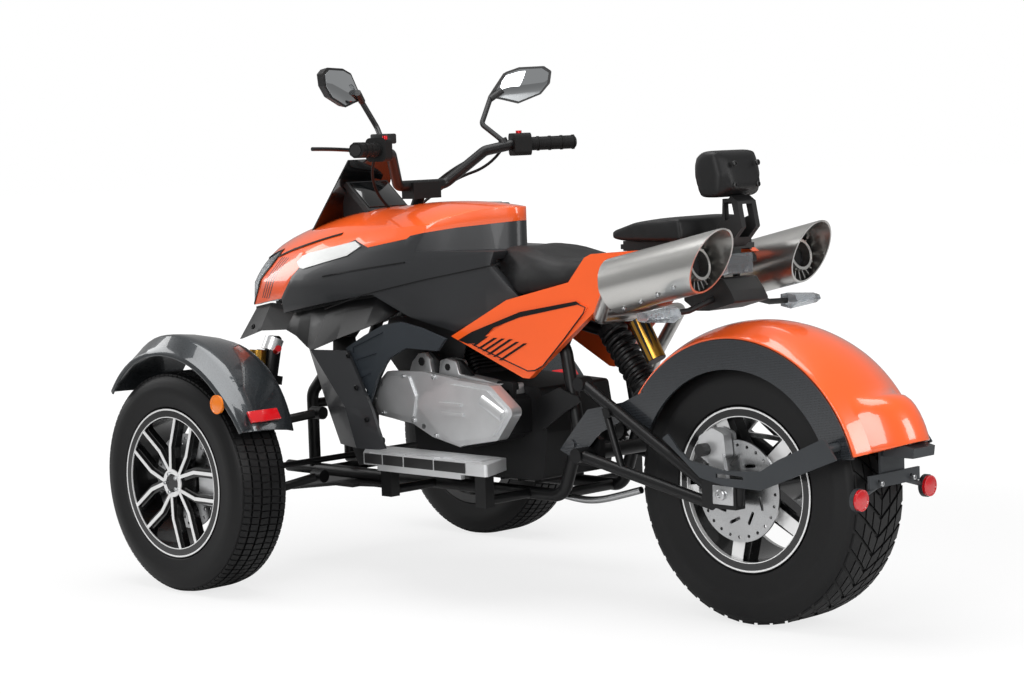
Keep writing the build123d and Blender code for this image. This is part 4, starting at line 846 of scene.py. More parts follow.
def bare_copy(node: str) -> Piece:
    """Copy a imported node's mesh as a loose piece with merged corners.

    Args:
        node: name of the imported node.

    Returns:
        The loose copy, without the node's own marks.
    """
    copy = twin(FRAME["nodes"][node])
    for owner in list(copy.users_collection):
        if owner is not bpy.context.scene.collection:
            owner.objects.unlink(copy)
    for key in list(copy.keys()):
        del copy[key]
    copy.modifiers.clear()
    tidy_mesh(copy)
    return copy


def repeated(piece: Piece, places: Iterable[Matrix]) -> Piece:
    """Join copies of a piece at several places, and drop the piece itself.

    Args:
        piece: what is copied.
        places: one matrix for each copy.

    Returns:
        All copies as one mesh.
    """
    row = [twin(piece, spot) for spot in places]
    discard(piece)
    return joined(row)


def joined(pieces: Sequence[Piece]) -> Piece:
    """Join pieces into one mesh.

    Args:
        pieces: meshes to join.

    Returns:
        The first piece, which holds them all.
    """
    first = pick(*pieces)
    if len(pieces) > 1:
        bpy.ops.object.join()
    return first


def both_sides(piece: Piece) -> Piece:
    """Add the mirror image of a piece on the other side.

    Args:
        piece: mesh on one side.

    Returns:
        Both as one mesh.
    """
    return joined([piece, twin(piece, MIRROR)])


def frame_at(at: Sequence[float], along: Sequence[float]) -> Matrix:
    """Give the matrix that puts +Z of a piece along a direction.

    Args:
        at: point in millimetres.
        along: direction.

    Returns:
        The matrix in metres.
    """
    turn = Vector(along).to_track_quat("Z", "Y").to_matrix().to_4x4()
    return Matrix.Translation(Vector(at) * MM) @ turn


def round_bar(points: Sequence[Sequence[float]], radius_mm: float, smooth: bool = True) -> Piece:
    """Sweep a round section along a line of points.

    Args:
        points: line in millimetres.
        radius_mm: radius of the section.
        smooth: follow the points as a smooth curve instead of straight runs.

    Returns:
        The swept mesh with closed ends.
    """
    clear_selection()
    bpy.ops.curve.primitive_nurbs_path_add()
    path = bpy.context.active_object
    path.data.splines.clear()
    spline = path.data.splines.new("NURBS" if smooth else "POLY")
    spline.points.add(len(points) - 1)
    for knot, point in zip(spline.points, millimetres(points)):
        knot.co = (*point, 1.0)
    if smooth:
        spline.order_u = 3
        spline.use_endpoint_u = True
    path.data.bevel_depth = radius_mm * MM
    path.data.bevel_resolution = BAR_FACETS
    path.data.use_fill_caps = True
    bpy.ops.object.convert(target="MESH")
    return bpy.context.active_object


def coil(start: Sequence[float], end: Sequence[float], radius: float, wire: float, turns: float) -> Piece:
    """Wind a spring between two points.

    Args:
        start: first end in millimetres.
        end: other end in millimetres.
        radius: radius to the wire's centre.
        wire: radius of the wire.
        turns: number of turns.

    Returns:
        The spring as a mesh.
    """
    line = Vector(end) - Vector(start)
    turn = line.to_track_quat("Z", "Y")
    count = int(turns * KNOTS_PER_TURN)
    knots = []
    for number in range(count + 1):
        share = number / count
        angle = share * turns * math.tau
        across = (radius * math.cos(angle), radius * math.sin(angle), line.length * share)
        knots.append(Vector(start) + turn @ Vector(across))
    return round_bar(knots, wire)


def place(piece: Piece, name: str, finish: str, body: str, slot: str | None = None,
          replaces: Sequence[str] = (), smooth: float = 35) -> Piece:
    """Name, dress and hand over a finished piece.

    Args:
        piece: the finished mesh.
        name: plain name of the piece.
        finish: key in FINISHES.
        body: body that it rides on.
        slot: material slot of the record, or the finish's own name where the record has it; it is only tested
            against the record's slots and is not given to the piece.
        replaces: nodes that the piece stands for.
        smooth: largest angle that is shaded smooth, in degrees.

    Returns:
        The piece.
    """
    pick(piece)
    bpy.ops.object.transform_apply(location=True, rotation=True, scale=True)
    bpy.ops.object.shade_smooth_by_angle(angle=math.radians(smooth))
    piece.name = name
    piece.data.name = name
    piece.data.materials.clear()
    piece.data.materials.append(LIBRARY.get(finish))
    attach(piece, body)
    if (slot or finish) in SLOTS:
        slot or finish
    if replaces:
        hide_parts(*replaces)
    LOG.info("%s: %d faces on %s", name, len(piece.data.polygons), body)
    return piece


def eased(table: Sequence[Sequence[float]], key: float) -> list[float]:
    """Read a table of rows at a key between them, on a smooth curve.

    Args:
        table: rows that start with their key, in rising order.
        key: where to read.

    Returns:
        The other columns at the key.
    """
    last = len(table) - 1
    index = next((i for i in range(last) if key <= table[i + 1][0]), last - 1)
    rows = [table[max(0, index - 1)], table[index], table[index + 1], table[min(last, index + 2)]]
    span = rows[2][0] - rows[1][0]
    t = (key - rows[1][0]) / span
    values = []
    for column in range(1, len(table[0])):
        before, low, high, after = (row[column] for row in rows)
        lead = (high - before) / max(1e-9, rows[2][0] - rows[0][0]) * span
        lag = (after - low) / max(1e-9, rows[3][0] - rows[1][0]) * span
        values.append((2 * t ** 3 - 3 * t ** 2 + 1) * low + (t ** 3 - 2 * t ** 2 + t) * lead
                      + (3 * t ** 2 - 2 * t ** 3) * high + (t ** 3 - t ** 2) * lag)
    return values


def blend(first: Sequence[float], second: Sequence[float], share: float) -> tuple[float, ...]:
    """Give the point at a share of the way between two points.

    Args:
        first: where the way starts.
        second: where it ends.
        share: 0 at the first point and 1 at the second.

    Returns:
        The point between them.
    """
    return tuple(a + (b - a) * share for a, b in zip(first, second))


def standing_disc(radius_mm: float, height_mm: float, facets: int) -> Piece:
    """Stand a disc on the origin and enter edit mode with only its top face selected.

    Args:
        radius_mm: radius of the disc.
        height_mm: height along +Z.
        facets: number of sides.

    Returns:
        The disc, ready for insets in its top.
    """
    clear_selection()
    bpy.ops.mesh.primitive_cylinder_add(
        vertices=facets, radius=radius_mm * MM, depth=height_mm * MM, location=(0, 0, height_mm * MM / 2))
    disc = bpy.context.active_object
    bpy.ops.object.transform_apply(location=True)
    bpy.ops.object.mode_set(mode="EDIT")
    bpy.ops.mesh.select_mode(type="FACE")
    bpy.ops.mesh.select_all(action="DESELECT")
    bpy.ops.object.mode_set(mode="OBJECT")
    for face in disc.data.polygons:
        face.select = face.normal.z > 0.9
    bpy.ops.object.mode_set(mode="EDIT")
    return disc


def cap_screw(radius_mm: float, height_mm: float) -> Piece:
    """Make one domed screw head with a socket, standing on the origin along +Z.

    Args:
        radius_mm: radius of the head.
        height_mm: height of the head's side.

    Returns:
        The screw head.
    """
    screw = standing_disc(radius_mm, height_mm, 12)
    bpy.ops.mesh.inset(thickness=radius_mm * MM * 0.22, depth=height_mm * MM * 0.2)
    bpy.ops.mesh.inset(thickness=radius_mm * MM * 0.25)
    bpy.ops.mesh.extrude_region_move(TRANSFORM_OT_translate={"value": (0, 0, -height_mm * MM * 0.5)})
    bpy.ops.object.mode_set(mode="OBJECT")
    return screw


# ---------------------------------------------------------------- wheels
class Tread(Enum):
    """Tread patterns of the tyres."""

    RIBBED = "straight ribs with sipes"
    ARROW = "arrows that point along the roll"


@dataclass
class Tyre:
    """One road tyre with its carcass and tread blocks.

    Sizes are in millimetres, and half widths are measured from the middle plane.
    """

    node: str
    body: str
    centre: Point
    radius: float
    half: float
    rim_half: float
    tread: Tread
    bead_r: float = 178.6
    lip_r: float = 197.0
    tread_depth: float = 5.0
    pitches: int = 60
    lean: float = 0.9
    steps: int = 96
    # Share of the half width that the blocks cover, and how far they reach into the carcass.
    tread_share: float = 0.86
    root: float = 4.0
    # Crown: fall at the shoulder, and the share of the half width where it starts.
    crown_drop: float = 8.5
    crown_flat: float = 0.4
    # How much narrower a block is at its top, on each side.
    block_draft: float = 0.8

    def build(self) -> None:
        """Make the tyre in place of its plain ring."""
        tyre = joined([spun(self._profile(), self.centre, self.steps), self._blocks()])
        place(tyre, f"{self.node}_tread", "tyre", self.body, replaces=(self.node,), smooth=28)

    def _profile(self) -> list[Flat]:
        """Give the closed carcass section.

        Returns:
            Corners as Y and radius, from one bead over the crown to the other.
        """
        base = self.radius - self.tread_depth
        bead = self.rim_half - 7.5
        wall = (self.radius + self.lip_r) / 2
        outer = [
            (bead, self.bead_r), (bead + 1, self.lip_r - 4), (self.rim_half + 1, self.lip_r + 2),
            (self.half * 0.955, self.lip_r + 10), (self.half * 0.99, wall - 14), (self.half - 0.2, wall - 8),
            (self.half, wall), (self.half - 0.6, wall + 8), (self.half * 0.99, wall + 9),
            (self.half * 0.965, self.radius - 26), (self.half * 0.93, self.radius - 17),
            (self.half * 0.87, self.radius - 10), (self.half * 0.72, base - 1), (self.half * 0.4, base),
        ]
        return outer + [(-y, radius) for y, radius in reversed(outer)]

    def _rows(self) -> list[tuple[float, float, float, float]]:
        """Lay out the rows of blocks across the tread.

        Returns:
            For each row its two sides in Y, the share of the pitch on each end that is groove, and its lean.
        """
        width = self.half * self.tread_share
        rows = []
        if self.tread is Tread.RIBBED:
            groove, sipe, slant = 2.6, 0.09, 0.3
            edges = [-width, -width * 0.64, -width * 0.22, width * 0.22, width * 0.64, width]
            for low, high in zip(edges, edges[1:]):
                rows.append((low + groove, high - groove, sipe, slant if low + high > 0 else -slant))
        else:
            groove, sipe = 1.6, 0.11
            edges = [0.0, width * 0.34, width * 0.66, width]
            for low, high in zip(edges, edges[1:]):
                rows.append((low + groove, high - groove, sipe, self.lean))
                rows.append((-high + groove, -low - groove, sipe, self.lean))
        return rows

    def _blocks(self) -> Piece:
        """Make the tread blocks all round.

        Returns:
            All blocks as one mesh.
        """
        step = math.tau / self.pitches
        segment = joined([self._block(low, high, step * (1 - sipe * 2), slant * step)
                          for low, high, sipe, slant in self._rows()])
        centre = Vector(self.centre) * MM
        places = [Matrix.Translation(centre) @ Matrix.Rotation(step * n, 4, "Y") @ Matrix.Translation(-centre)
                  for n in range(self.pitches)]
        return repeated(segment, places)

    def _crown(self, y: float, angle: float, sink: float) -> Point:
        """Give a point on the crown.

        Args:
            y: distance from the middle plane.
            angle: angle round the axle from the top, in radians.
            sink: depth below the tread's surface.

        Returns:
            The point in millimetres.
        """
        axle_x, middle, axle_z = self.centre
        share = min(1.0, abs(y) / self.half)
        drop = self.crown_drop * max(0.0, (share - self.crown_flat) / (1 - self.crown_flat)) ** 2
        radius = self.radius - drop - sink
        return axle_x + radius * math.sin(angle), middle + y, axle_z + radius * math.cos(angle)

    def _block(self, low: float, high: float, sweep: float, lean: float) -> Piece:
        """Make one block between two Y positions.

        Args:
            low: one side of the block in Y.
            high: other side of the block in Y.
            sweep: angle that it covers, in radians.
            lean: angle by which the shoulder trails the middle, in radians.

        Returns:
            The block at the top of the tyre.
        """
        skew_low = lean * (abs(low) / self.half) * 2
        skew_high = lean * (abs(high) / self.half) * 2
        corners = [(low, skew_low), (high, skew_high), (high, skew_high + sweep), (low, skew_low + sweep)]
        height = self.tread_depth + self.root
        block = add_ring(millimetres(self._crown(y, angle, height) for y, angle in corners), filled=True)
        edit_all(block)
        bpy.ops.mesh.extrude_region_move(TRANSFORM_OT_translate={"value": (0, 0, height * MM)})
        bpy.ops.object.mode_set(mode="OBJECT")
        top = [v for v in block.data.vertices if v.select]
        for corner in top:
            side, angle = min(corners, key=lambda c: (Vector(self._crown(*c, 0)) * MM - corner.co).length)
            inset = self.block_draft if side == low else -self.block_draft
            corner.co = Vector(self._crown(side + inset, angle, 0)) * MM
        tidy_mesh(block)
        return block


# ---------------------------------------------------------------- bodywork
@dataclass
class Bodywork:
    """Top cover, side covers, nose and lamps as panels of one smooth shell.

    Sizes are in millimetres. Outlines of panels are X and Z as seen from the side.
    """

    # Stations: X, crown Z, shoulder Y and Z, waist Y and Z, sill Y and Z.
    stations: tuple = (
        (15, 948, 112, 925, 132, 860, 120, 640), (170, 976, 150, 928, 172, 830, 178, 640),
        (340, 986, 185, 930, 222, 810, 225, 650), (520, 978, 205, 905, 250, 810, 250, 690),
        (720, 956, 205, 880, 256, 800, 255, 690), (950, 895, 150, 838, 205, 775, 210, 700),
        (1020, 850, 60, 800, 130, 745, 150, 700),
    )
    wall: float = 20.0
    hollow_ends: tuple = (33, 1000)
    slices: int = 30
    crown_facets: int = 8
    flank_bulge: float = 14
    # Thickness of the skin that trims are cut from, over the shell, and where it starts.
    skin: float = 2.2
    skin_start: float = 40

    # Where the panels meet.
    cover_line: tuple = ((0, 939), (95, 940), (240, 924), (339, 906), (349, 898), (473, 876), (530, 895),
                         (709, 829))
    cheek_rear: tuple = ((709, 829), (765, 770), (794, 738))
    cheek_top: tuple = ((720, 862), (787, 869))
    cheek_front: tuple = ((951, 714), (923, 752), (903, 785), (869, 821), (855, 849))
    cover_foot: tuple = ((783, 700), (637, 726), (494, 750), (440, 756), (323, 700), (197, 665), (20, 749),
                         (60, 790), (98, 832), (88, 868), (0, 885))
    lamp_top: tuple = ((869, 862), (1030, 815))
    above: tuple = ((1030, 1100), (0, 1100))
    lamp_foot: tuple = ((1030, 714),)
    # Plan of the rounded rear end above the seat: X and half width.
    rear_plan: tuple = ((128, 0), (134, 20), (150, 36), (172, 54), (200, 80), (236, 118), (268, 150),
                        (296, 178), (325, 215))
    rear_foot: float = 866
    # Blocks by two corners that part the left and right halves of a panel.
    cover_gap: tuple = ((345, -90, 600), (1100, 90, 1100))
    lamp_gap: tuple = ((800, -75, 600), (1100, 75, 1100))
    plaque_gap: tuple = ((0, -150, 600), (1100, 150, 1100))

    # Trims on the panels. The first table holds thin black strips along the folds of the side covers, which
    # paint the shade of the folds.
    crease_shade_strips: tuple = (
        ((612, 802), (505, 819), (340, 841), (340, 838), (505, 816), (612, 799)),
        ((607, 717), (471, 756), (275, 798), (71, 837), (71, 834), (275, 795), (471, 753), (607, 714)),
    )
    plaque: tuple = ((736, 836), (711, 821), (694, 819), (538, 855), (499, 879), (527, 891), (691, 860),
                     (718, 852))
    pin_line: tuple = ((855, 849), (787, 869), (654, 900), (600, 912), (600, 907), (654, 895), (787, 864),
                       (852, 845))
    surround: tuple = ((869, 862), (861, 858), (875, 826), (909, 788), (929, 754), (957, 716), (951, 714),
                       (923, 752), (903, 785), (869, 821), (855, 849), (855, 866), (1030, 822), (1030, 815))

    # Fuel flap: plan of the latch and its key, seat height, height and rounding.
    latch: tuple = (((318, -150), (402, -150), (410, -96), (326, -96)), 900, 76, 3)
    latch_key: tuple = (((334, -138), (386, -138), (392, -108), (340, -108)), 905, 73.5, 2)
    # Hole for the steering column: radius, length, centre and rake.
    head_hole_r: float = 40
    head_hole_length: float = 400
    head_at: Point = (500, 0, 1010)
    rake: float = 28

    def build(self) -> None:
        """Make the panels and their trims."""
        first, last = self.stations[0][0], self.stations[-1][0]
        outer = combine(self._volume(0, first, last), self._rear_cut(0), "DIFFERENCE")
        inner = combine(self._volume(self.wall, *self.hollow_ends), self._rear_cut(self.wall), "DIFFERENCE")
        shell = combine(twin(outer), inner, "DIFFERENCE")
        self._panels(shell)
        skin = combine(self._volume(-self.skin, self.skin_start, last), outer, "DIFFERENCE", keep_tool=True)
        self._trims(skin)
        self._flap()
        discard(skin, outer, shell)

    def _panels(self, shell: Piece) -> None:
        """Cut the shell into its painted panels.

        Args:
            shell: hollow form of the whole body.
        """
        outline = self.cover_line + self.cheek_top + self.cheek_front[-1:] + self.lamp_top + self.above
        top = combine(self._panel(shell, outline), self._head_hole(), "DIFFERENCE")
        self._hand_over(top, "top_cover_skin", "orange_paint", "top_cover")
        covers = self._panel(shell, self.cover_line + self.cheek_rear[1:] + self.cover_foot)
        covers = combine(covers, self._block(*self.cover_gap), "DIFFERENCE")
        self._hand_over(covers, "side_cover_skin", "charcoal_satin", "side_covers")
        cheeks = self._panel(shell, self.cheek_rear[::-1] + self.cheek_top + self.cheek_front[::-1])
        self._hand_over(cheeks, "nose_cheeks", "striped_orange", "nose", slot="orange_paint")
        lamps = self._panel(shell, self.cheek_front + self.lamp_top + self.lamp_foot)
        lamps = combine(lamps, self._block(*self.lamp_gap), "DIFFERENCE")
        self._hand_over(lamps, "headlamp_lenses", "clear_lens", "headlamps")

    def _trims(self, skin: Piece) -> None:
        """Cut the thin trims that lie on the panels, among them black strips along the side covers' folds
        that paint the shade of the folds.

        Args:
            skin: thin layer over the whole body.
        """
        # Black strips along the side covers' folds: painted shade of the folds.
        for shade_strip in self.crease_shade_strips:
            place(self._panel(skin, shade_strip), "side_cover_crease_shade", "black_gloss", "chassis")
        plaque = combine(self._panel(skin, self.plaque), self._block(*self.plaque_gap), "DIFFERENCE")
        place(plaque, "side_plaques", "brushed_plaque", "chassis")
        place(self._panel(skin, self.pin_line), "nose_pin_lines", "black_gloss", "chassis")
        place(self._panel(skin, self.surround), "lamp_surrounds", "black_gloss", "chassis")

    def _flap(self) -> None:
        """Make the fuel flap's latch and key plate on the right of the top cover."""
        for (plan, foot, height, rounding), name, finish in (
            (self.latch, "fuel_flap_latch", "black_gloss"),
            (self.latch_key, "fuel_flap_key", "brake_steel"),
        ):
            plate = slab([(x, y, foot) for x, y in plan], (0, 0, height), rounding)
            place(plate, name, finish, "chassis")

    def _volume(self, inset: float, start: float, end: float) -> Piece:
        """Make the closed body form.

        Args:
            inset: how far it is drawn in.
            start: X of its rear end.
            end: X of its front end.

        Returns:
            The closed form.
        """
        rings = []
        for number in range(self.slices + 1):
            x = start + (end - start) * number / self.slices
            rings.append(self._section(x, inset))
        return skinned(rings)

    def _rear_cut(self, inset: float) -> Piece:
        """Make the cutter that rounds the body's rear end above the seat.

        Args:
            inset: how far the cut is drawn in.

        Returns:
            The cutter.
        """
        behind, aside, height = -60, 400, 300
        edge = [(x + inset, half) for x, half in self.rear_plan]
        outline = [(x, -half) for x, half in reversed(edge)] + edge[1:] + [(behind, aside), (behind, -aside)]
        foot = self.rear_foot - inset
        return slab([(x, y, foot) for x, y in outline], (0, 0, height))

    def _section(self, x: float, inset: float) -> list[Vector]:
        """Give one section ring of the body.

        Args:
            x: where it is cut.
            inset: how far it is drawn in.

        Returns:
            The ring in metres, from the left sill over the crown to the right one.
        """
        crown_z, shoulder_y, shoulder_z, waist_y, waist_z, sill_y, sill_z = eased(self.stations, x)
        drop = self.wall if inset else 0
        sill = (sill_y - inset, sill_z - drop)
        waist = (waist_y - inset, waist_z)
        half, top = shoulder = (shoulder_y - inset, shoulder_z - inset * 0.7)
        rise = crown_z - inset - top
        radius = (half ** 2 + rise ** 2) / (2 * rise)
        limit = math.asin(min(1.0, half / radius))
        points = [sill, blend(sill, waist, 0.35), blend(sill, waist, 0.7), waist]
        for share in (0.25, 0.5, 0.75):
            bulge = self.flank_bulge * share * (1 - share)
            y, z = blend(waist, shoulder, share)
            points.append((y + bulge, z + bulge / 2))
        for number in range(self.crown_facets):
            angle = limit * (1 - number / self.crown_facets)
            points.append((radius * math.sin(angle), top + radius * math.cos(angle) - (radius - rise)))
        crown = [(0.0, top + rise)]
        ring = [*points, *crown, *((-y, z) for y, z in reversed(points))]
        return millimetres((x, y, z) for y, z in ring)

    def _panel(self, shell: Piece, outline: Sequence[Flat]) -> Piece:
        """Cut one panel out of the shell.

        Args:
            shell: what it is cut from.
            outline: X and Z of the panel's corners.

        Returns:
            The panel, on both sides of the vehicle.
        """
        reach = 330
        prism = slab([(x, -reach, z) for x, z in outline], (0, 2 * reach, 0))
        return combine(twin(shell), prism, "INTERSECT")

    def _block(self, low: Point, high: Point) -> Piece:
        """Make a cutting block between two corners."""
        (x0, y0, z0), (x1, y1, z1) = low, high
        return slab([(x0, y0, z0), (x1, y0, z0), (x1, y0, z1), (x0, y0, z1)], (0, y1 - y0, 0))

    def _head_hole(self) -> Piece:
        """Make the cutter that lets the steering column through.

        Returns:
            The cutter.
        """
        clear_selection()
        bpy.ops.mesh.primitive_cylinder_add(
            vertices=48, radius=self.head_hole_r * MM, depth=self.head_hole_length * MM)
        cutter = bpy.context.active_object
        lean = math.radians(self.rake)
        cutter.data.transform(frame_at(self.head_at, (-math.sin(lean), 0, math.cos(lean))))
        return cutter

    def _hand_over(self, panel: Piece, name: str, finish: str, node: str, slot: str | None = None) -> None:
        """Round a panel's edges and put it in place of its node.

        Args:
            panel: the finished panel.
            name: plain name of the piece.
            finish: key in FINISHES.
            node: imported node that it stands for.
            slot: material slot of the record, where it isn't the finish's name.
        """
        round_edges(panel, 1.6, 2, 50)
        place(panel, name, finish, "chassis", slot, (node,), smooth=32)


@dataclass
class FrontFender:
    """Smooth front fender with its stays, for both sides.

    Sizes are in millimetres, and angles in degrees from straight ahead.
    """

    hub: Point = (820, 539, 286)
    tyre_r: float = 286
    # Sections by angle: gaps over the tyre of crown, lip and inner edge.
    sections: tuple = ((46, 34, 20, 8), (62, 70, 36, 44), (80, 94, 44, 68), (102, 94, 44, 68),
                       (118, 80, 42, 60), (134, 70, 40, 46), (154, 62, 52, 20))
    slices: int = 27
    inner_y: float = 432
    crease_y: float = 592
    outer_y: float = 635.5
    wall: float = 5
    # Arch from the inner edge to the crown: run in Y and share of the rise.
    arch: tuple = ((0, 0.0), (30, 0.36), (90, 0.8))
    # Stays: foot on the knuckle, radius of the bar, angles and reach of their upper ends.
    stay_foot: Point = (820, 437, 436)
    stay_r: float = 7
    stay_angles: tuple = (66, 118)
    stay_reach: float = 322
    # Bracket under the stays: plan, Z of its foot, height and rounding.
    bracket: tuple = (((800, 428), (840, 428), (840, 446), (800, 446)), 424.3, 12, 1.5)

    def build(self) -> None:
        """Make the left fender and its mirror image."""
        first, last = self.sections[0][0], self.sections[-1][0]
        rings = []
        for number in range(self.slices + 1):
            angle = first + (last - first) * number / self.slices
            crown, lip, inner = (self.tyre_r + gap for gap in eased(self.sections, angle))
            rings.append(self._ring(angle, crown, lip, inner))
        skin = skinned(rings)
        plan, foot, height, rounding = self.bracket
        carriers = [round_bar([self.stay_foot, self._stay_end(angle)], self.stay_r, smooth=False)
                    for angle in self.stay_angles]
        carriers.append(slab([(x, y, foot) for x, y in plan], (0, 0, height), rounding))
        for side, matrix in (("left", Matrix.Identity(4)), ("right", MIRROR)):
            body = f"knuckle_{side}"
            fender = twin(skin, matrix)
            round_edges(fender, 1.5, 2, 50)
            place(fender, f"fender_skin_{side}", "charcoal_gloss", body, replaces=(f"front_fender_{side}",))
            legs = joined([twin(piece, matrix) for piece in carriers])
            place(legs, f"fender_stays_{side}", "black_frame", body)
        discard(skin, *carriers)

    def _stay_end(self, angle: float) -> Point:
        """Give the point where a stay meets the fender.

        Args:
            angle: angle of the stay's end round the axle.

        Returns:
            The point in millimetres.
        """
        turn = math.radians(angle)
        axle_x, _, axle_z = self.hub
        reach_x, reach_z = self.stay_reach * math.cos(turn), self.stay_reach * math.sin(turn)
        return axle_x + reach_x, self.stay_foot[1], axle_z + reach_z

    def _ring(self, angle: float, crown: float, lip: float, inner: float) -> list[Vector]:
        """Give one section of the fender.

        Args:
            angle: where the section stands round the axle.
            crown: radius of its highest line.
            lip: radius of its outer edge.
            inner: radius of its inner edge.

        Returns:
            The closed section in metres.
        """
        arch = [(self.inner_y + run, inner + (crown - inner) * share) for run, share in self.arch]
        outside = [*arch, (self.crease_y - 22, crown - 0.5), (self.crease_y, crown),
                   (self.crease_y + 6, crown - 4), (self.outer_y - 14, lip + 12 + (crown - lip - 12) * 0.28),
                   (self.outer_y - 2, lip + 13), (self.outer_y, lip + 6), (self.outer_y, lip)]
        inside = [(self.outer_y - self.wall, lip), (self.outer_y - self.wall, lip + 8),
                  (self.crease_y - 2, crown - self.wall - 2)]
        inside += [(y, radius - self.wall) for y, radius in reversed(arch)]
        turn = math.radians(angle)
        axle_x, _, axle_z = self.hub
        return millimetres((axle_x + radius * math.cos(turn), y, axle_z + radius * math.sin(turn))
                           for y, radius in outside + inside)


@dataclass
class RearFender:
    """Smooth rear fender with the hump over its tail.

    Sizes are in millimetres, and angles in degrees from the top towards the rear.
    """

    hub: Point = (-650, 0, 321)
    front_deg: float = -58
    rear_deg: float = 73
    half: float = 130
    edge_r: float = 358
    crown_r: float = 388
    wall: float = 5
    slices: int = 60
    half_facets: int = 12
    # Hump by angle: height over the crown.
    hump: tuple = ((46, 0), (52, 4), (55, 18), (58, 46), (62, 60), (68, 66), (73, 66))
    # Half width of the hump, and the powers that give it its flat top and steep sides.
    hump_half: float = 86
    hump_powers: tuple = (2.6, 0.8)

    def build(self) -> None:
        """Make the fender in place of its plain arch."""
        rings = []
        for number in range(self.slices + 1):
            angle = self.front_deg + (self.rear_deg - self.front_deg) * number / self.slices
            rings.append(self._ring(angle))
        fender = skinned(rings)
        round_edges(fender, 1.5, 2, 60)
        place(fender, "rear_fender_skin", "orange_paint", "chassis", replaces=("rear_fender",), smooth=40)

    def _ring(self, angle: float) -> list[Vector]:
        """Give one section of the fender.

        Args:
            angle: where the section stands round the axle.

        Returns:
            The closed section in metres.
        """
        rise = eased(self.hump, angle)[0] if angle > self.hump[0][0] else 0.0
        flat, steep = self.hump_powers
        outer = []
        for number in range(2 * self.half_facets + 1):
            y = self.half * (1 - number / self.half_facets)
            arch = self.edge_r + (self.crown_r - self.edge_r) * (1 - (y / self.half) ** 2)
            share = max(0.0, 1 - (abs(y) / self.hump_half) ** flat) ** steep
            outer.append((y, arch + rise * share))
        inner = [(y, radius - self.wall) for y, radius in reversed(outer)]
        turn = math.radians(angle)
        axle_x, middle, axle_z = self.hub
        return millimetres((axle_x - radius * math.sin(turn), middle + y, axle_z + radius * math.cos(turn))
                           for y, radius in outer + inner)


# ---------------------------------------------------------------- seats
@dataclass
class Upholstery:
    """Padded seat, pillion pad and backrest."""

    # In metres: spacing of the even mesh, room left for the swelling, and the most that it may swell.
    voxel: float = 0.005
    room: float = 0.004
    cap: float = 0.006
    frames: int = 14
    pressure: float = 3.0
    bending: float = 30.0
    stretching: float = 60.0
    # Pads: node, fill, and rounds of smoothing.
    pads: tuple = (("rider_seat", 0.8, 14), ("pillion_seat", 0.85, 14), ("backrest", 0.9, 34))
    # Rider's seat: X, half width, low Z, top Z.
    saddle: tuple = ((160, 74, 812, 850), (140, 96, 795, 870), (103, 112, 772, 882), (50, 128, 758, 880),
                     (2, 140, 754, 873), (-60, 146, 764, 856), (-115, 142, 774, 845), (-160, 132, 787, 852),
                     (-200, 116, 806, 861), (-214, 100, 818, 862))
    # Half section of the rider's seat: share of the half width and of the height.
    saddle_side: tuple = ((1.0, 0.0), (1.02, 0.35), (0.98, 0.66), (0.86, 0.9), (0.62, 0.99), (0.3, 0.96),
                          (0.0, 0.94))
    saddle_slices: int = 24

    def build(self) -> None:
        """Make each pad in place of its plain solid."""
        for node, fill, rounds in self.pads:
            pad = self._puffed(node, rounds)
            place(pad, f"{node}_pad", "seat_vinyl", "chassis", replaces=(node,), smooth=60)

    def _puffed(self, node: str, rounds: int) -> Piece:
        """Swell a node's form as a stretched cover over foam.

        Args:
            node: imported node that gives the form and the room.
            rounds: rounds of smoothing at the end.

        Returns:
            The swollen pad.
        """
        pad = self._saddle() if node == "rider_seat" else bare_copy(node)
        low, high = (Vector(c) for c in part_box(node))
        middle = (low + high) / 2
        size = high - low
        shrink = Matrix.Diagonal((*(1 - 2 * self.room / length for length in size), 1))
        pad.data.transform(Matrix.Translation(middle) @ shrink @ Matrix.Translation(-middle))
        pick(pad)
        remesh = pad.modifiers.new("even", "REMESH")
        remesh.mode = "VOXEL"
        remesh.voxel_size = self.voxel
        bpy.ops.object.modifier_apply(modifier=remesh.name)
        rest = [v.co.copy() for v in pad.data.vertices]
        self._inflate(pad)
        for corner, start in zip(pad.data.vertices, rest):
            move = corner.co - start
            if move.length > self.cap:
                corner.co = start + move.normalized() * self.cap
        pick(pad)
        soften = pad.modifiers.new("soften", "SMOOTH")
        soften.factor = 0.5
        soften.iterations = rounds
        bpy.ops.object.modifier_apply(modifier=soften.name)
        return pad

    def _saddle(self) -> Piece:
        """Make the rider's seat form from its stations.

        Returns:
            The closed form.
        """
        first, last = self.saddle[0][0], self.saddle[-1][0]
        rings = []
        for number in range(self.saddle_slices + 1):
            x = first - (first - last) * number / self.saddle_slices
            half, low, top = eased([(-row[0], *row[1:]) for row in self.saddle], -x)
            ring = [(width * half, low + (top - low) * share) for width, share in self.saddle_side]
            ring += [(-y, z) for y, z in reversed(ring[:-1])]
            rings.append(millimetres((x, y, z) for y, z in ring))
        return skinned(rings)

    def _inflate(self, pad: Piece) -> None:
        """Run the cover as cloth under a light pressure.

        Args:
            pad: closed cover, which keeps the swollen form.
        """
        scene = bpy.context.scene
        cloth = pad.modifiers.new("cover", "CLOTH")
        cloth.settings.use_pressure = True
        cloth.settings.uniform_pressure_force = self.pressure
        cloth.settings.bending_stiffness = self.bending
        cloth.settings.tension_stiffness = self.stretching
        cloth.settings.compression_stiffness = self.stretching
        cloth.settings.quality = 4
        cloth.settings.effector_weights.gravity = 0.0
        for frame in range(1, self.frames + 1):
            scene.frame_set(frame)
        bpy.ops.object.modifier_apply(modifier=cloth.name)
        scene.frame_set(1)


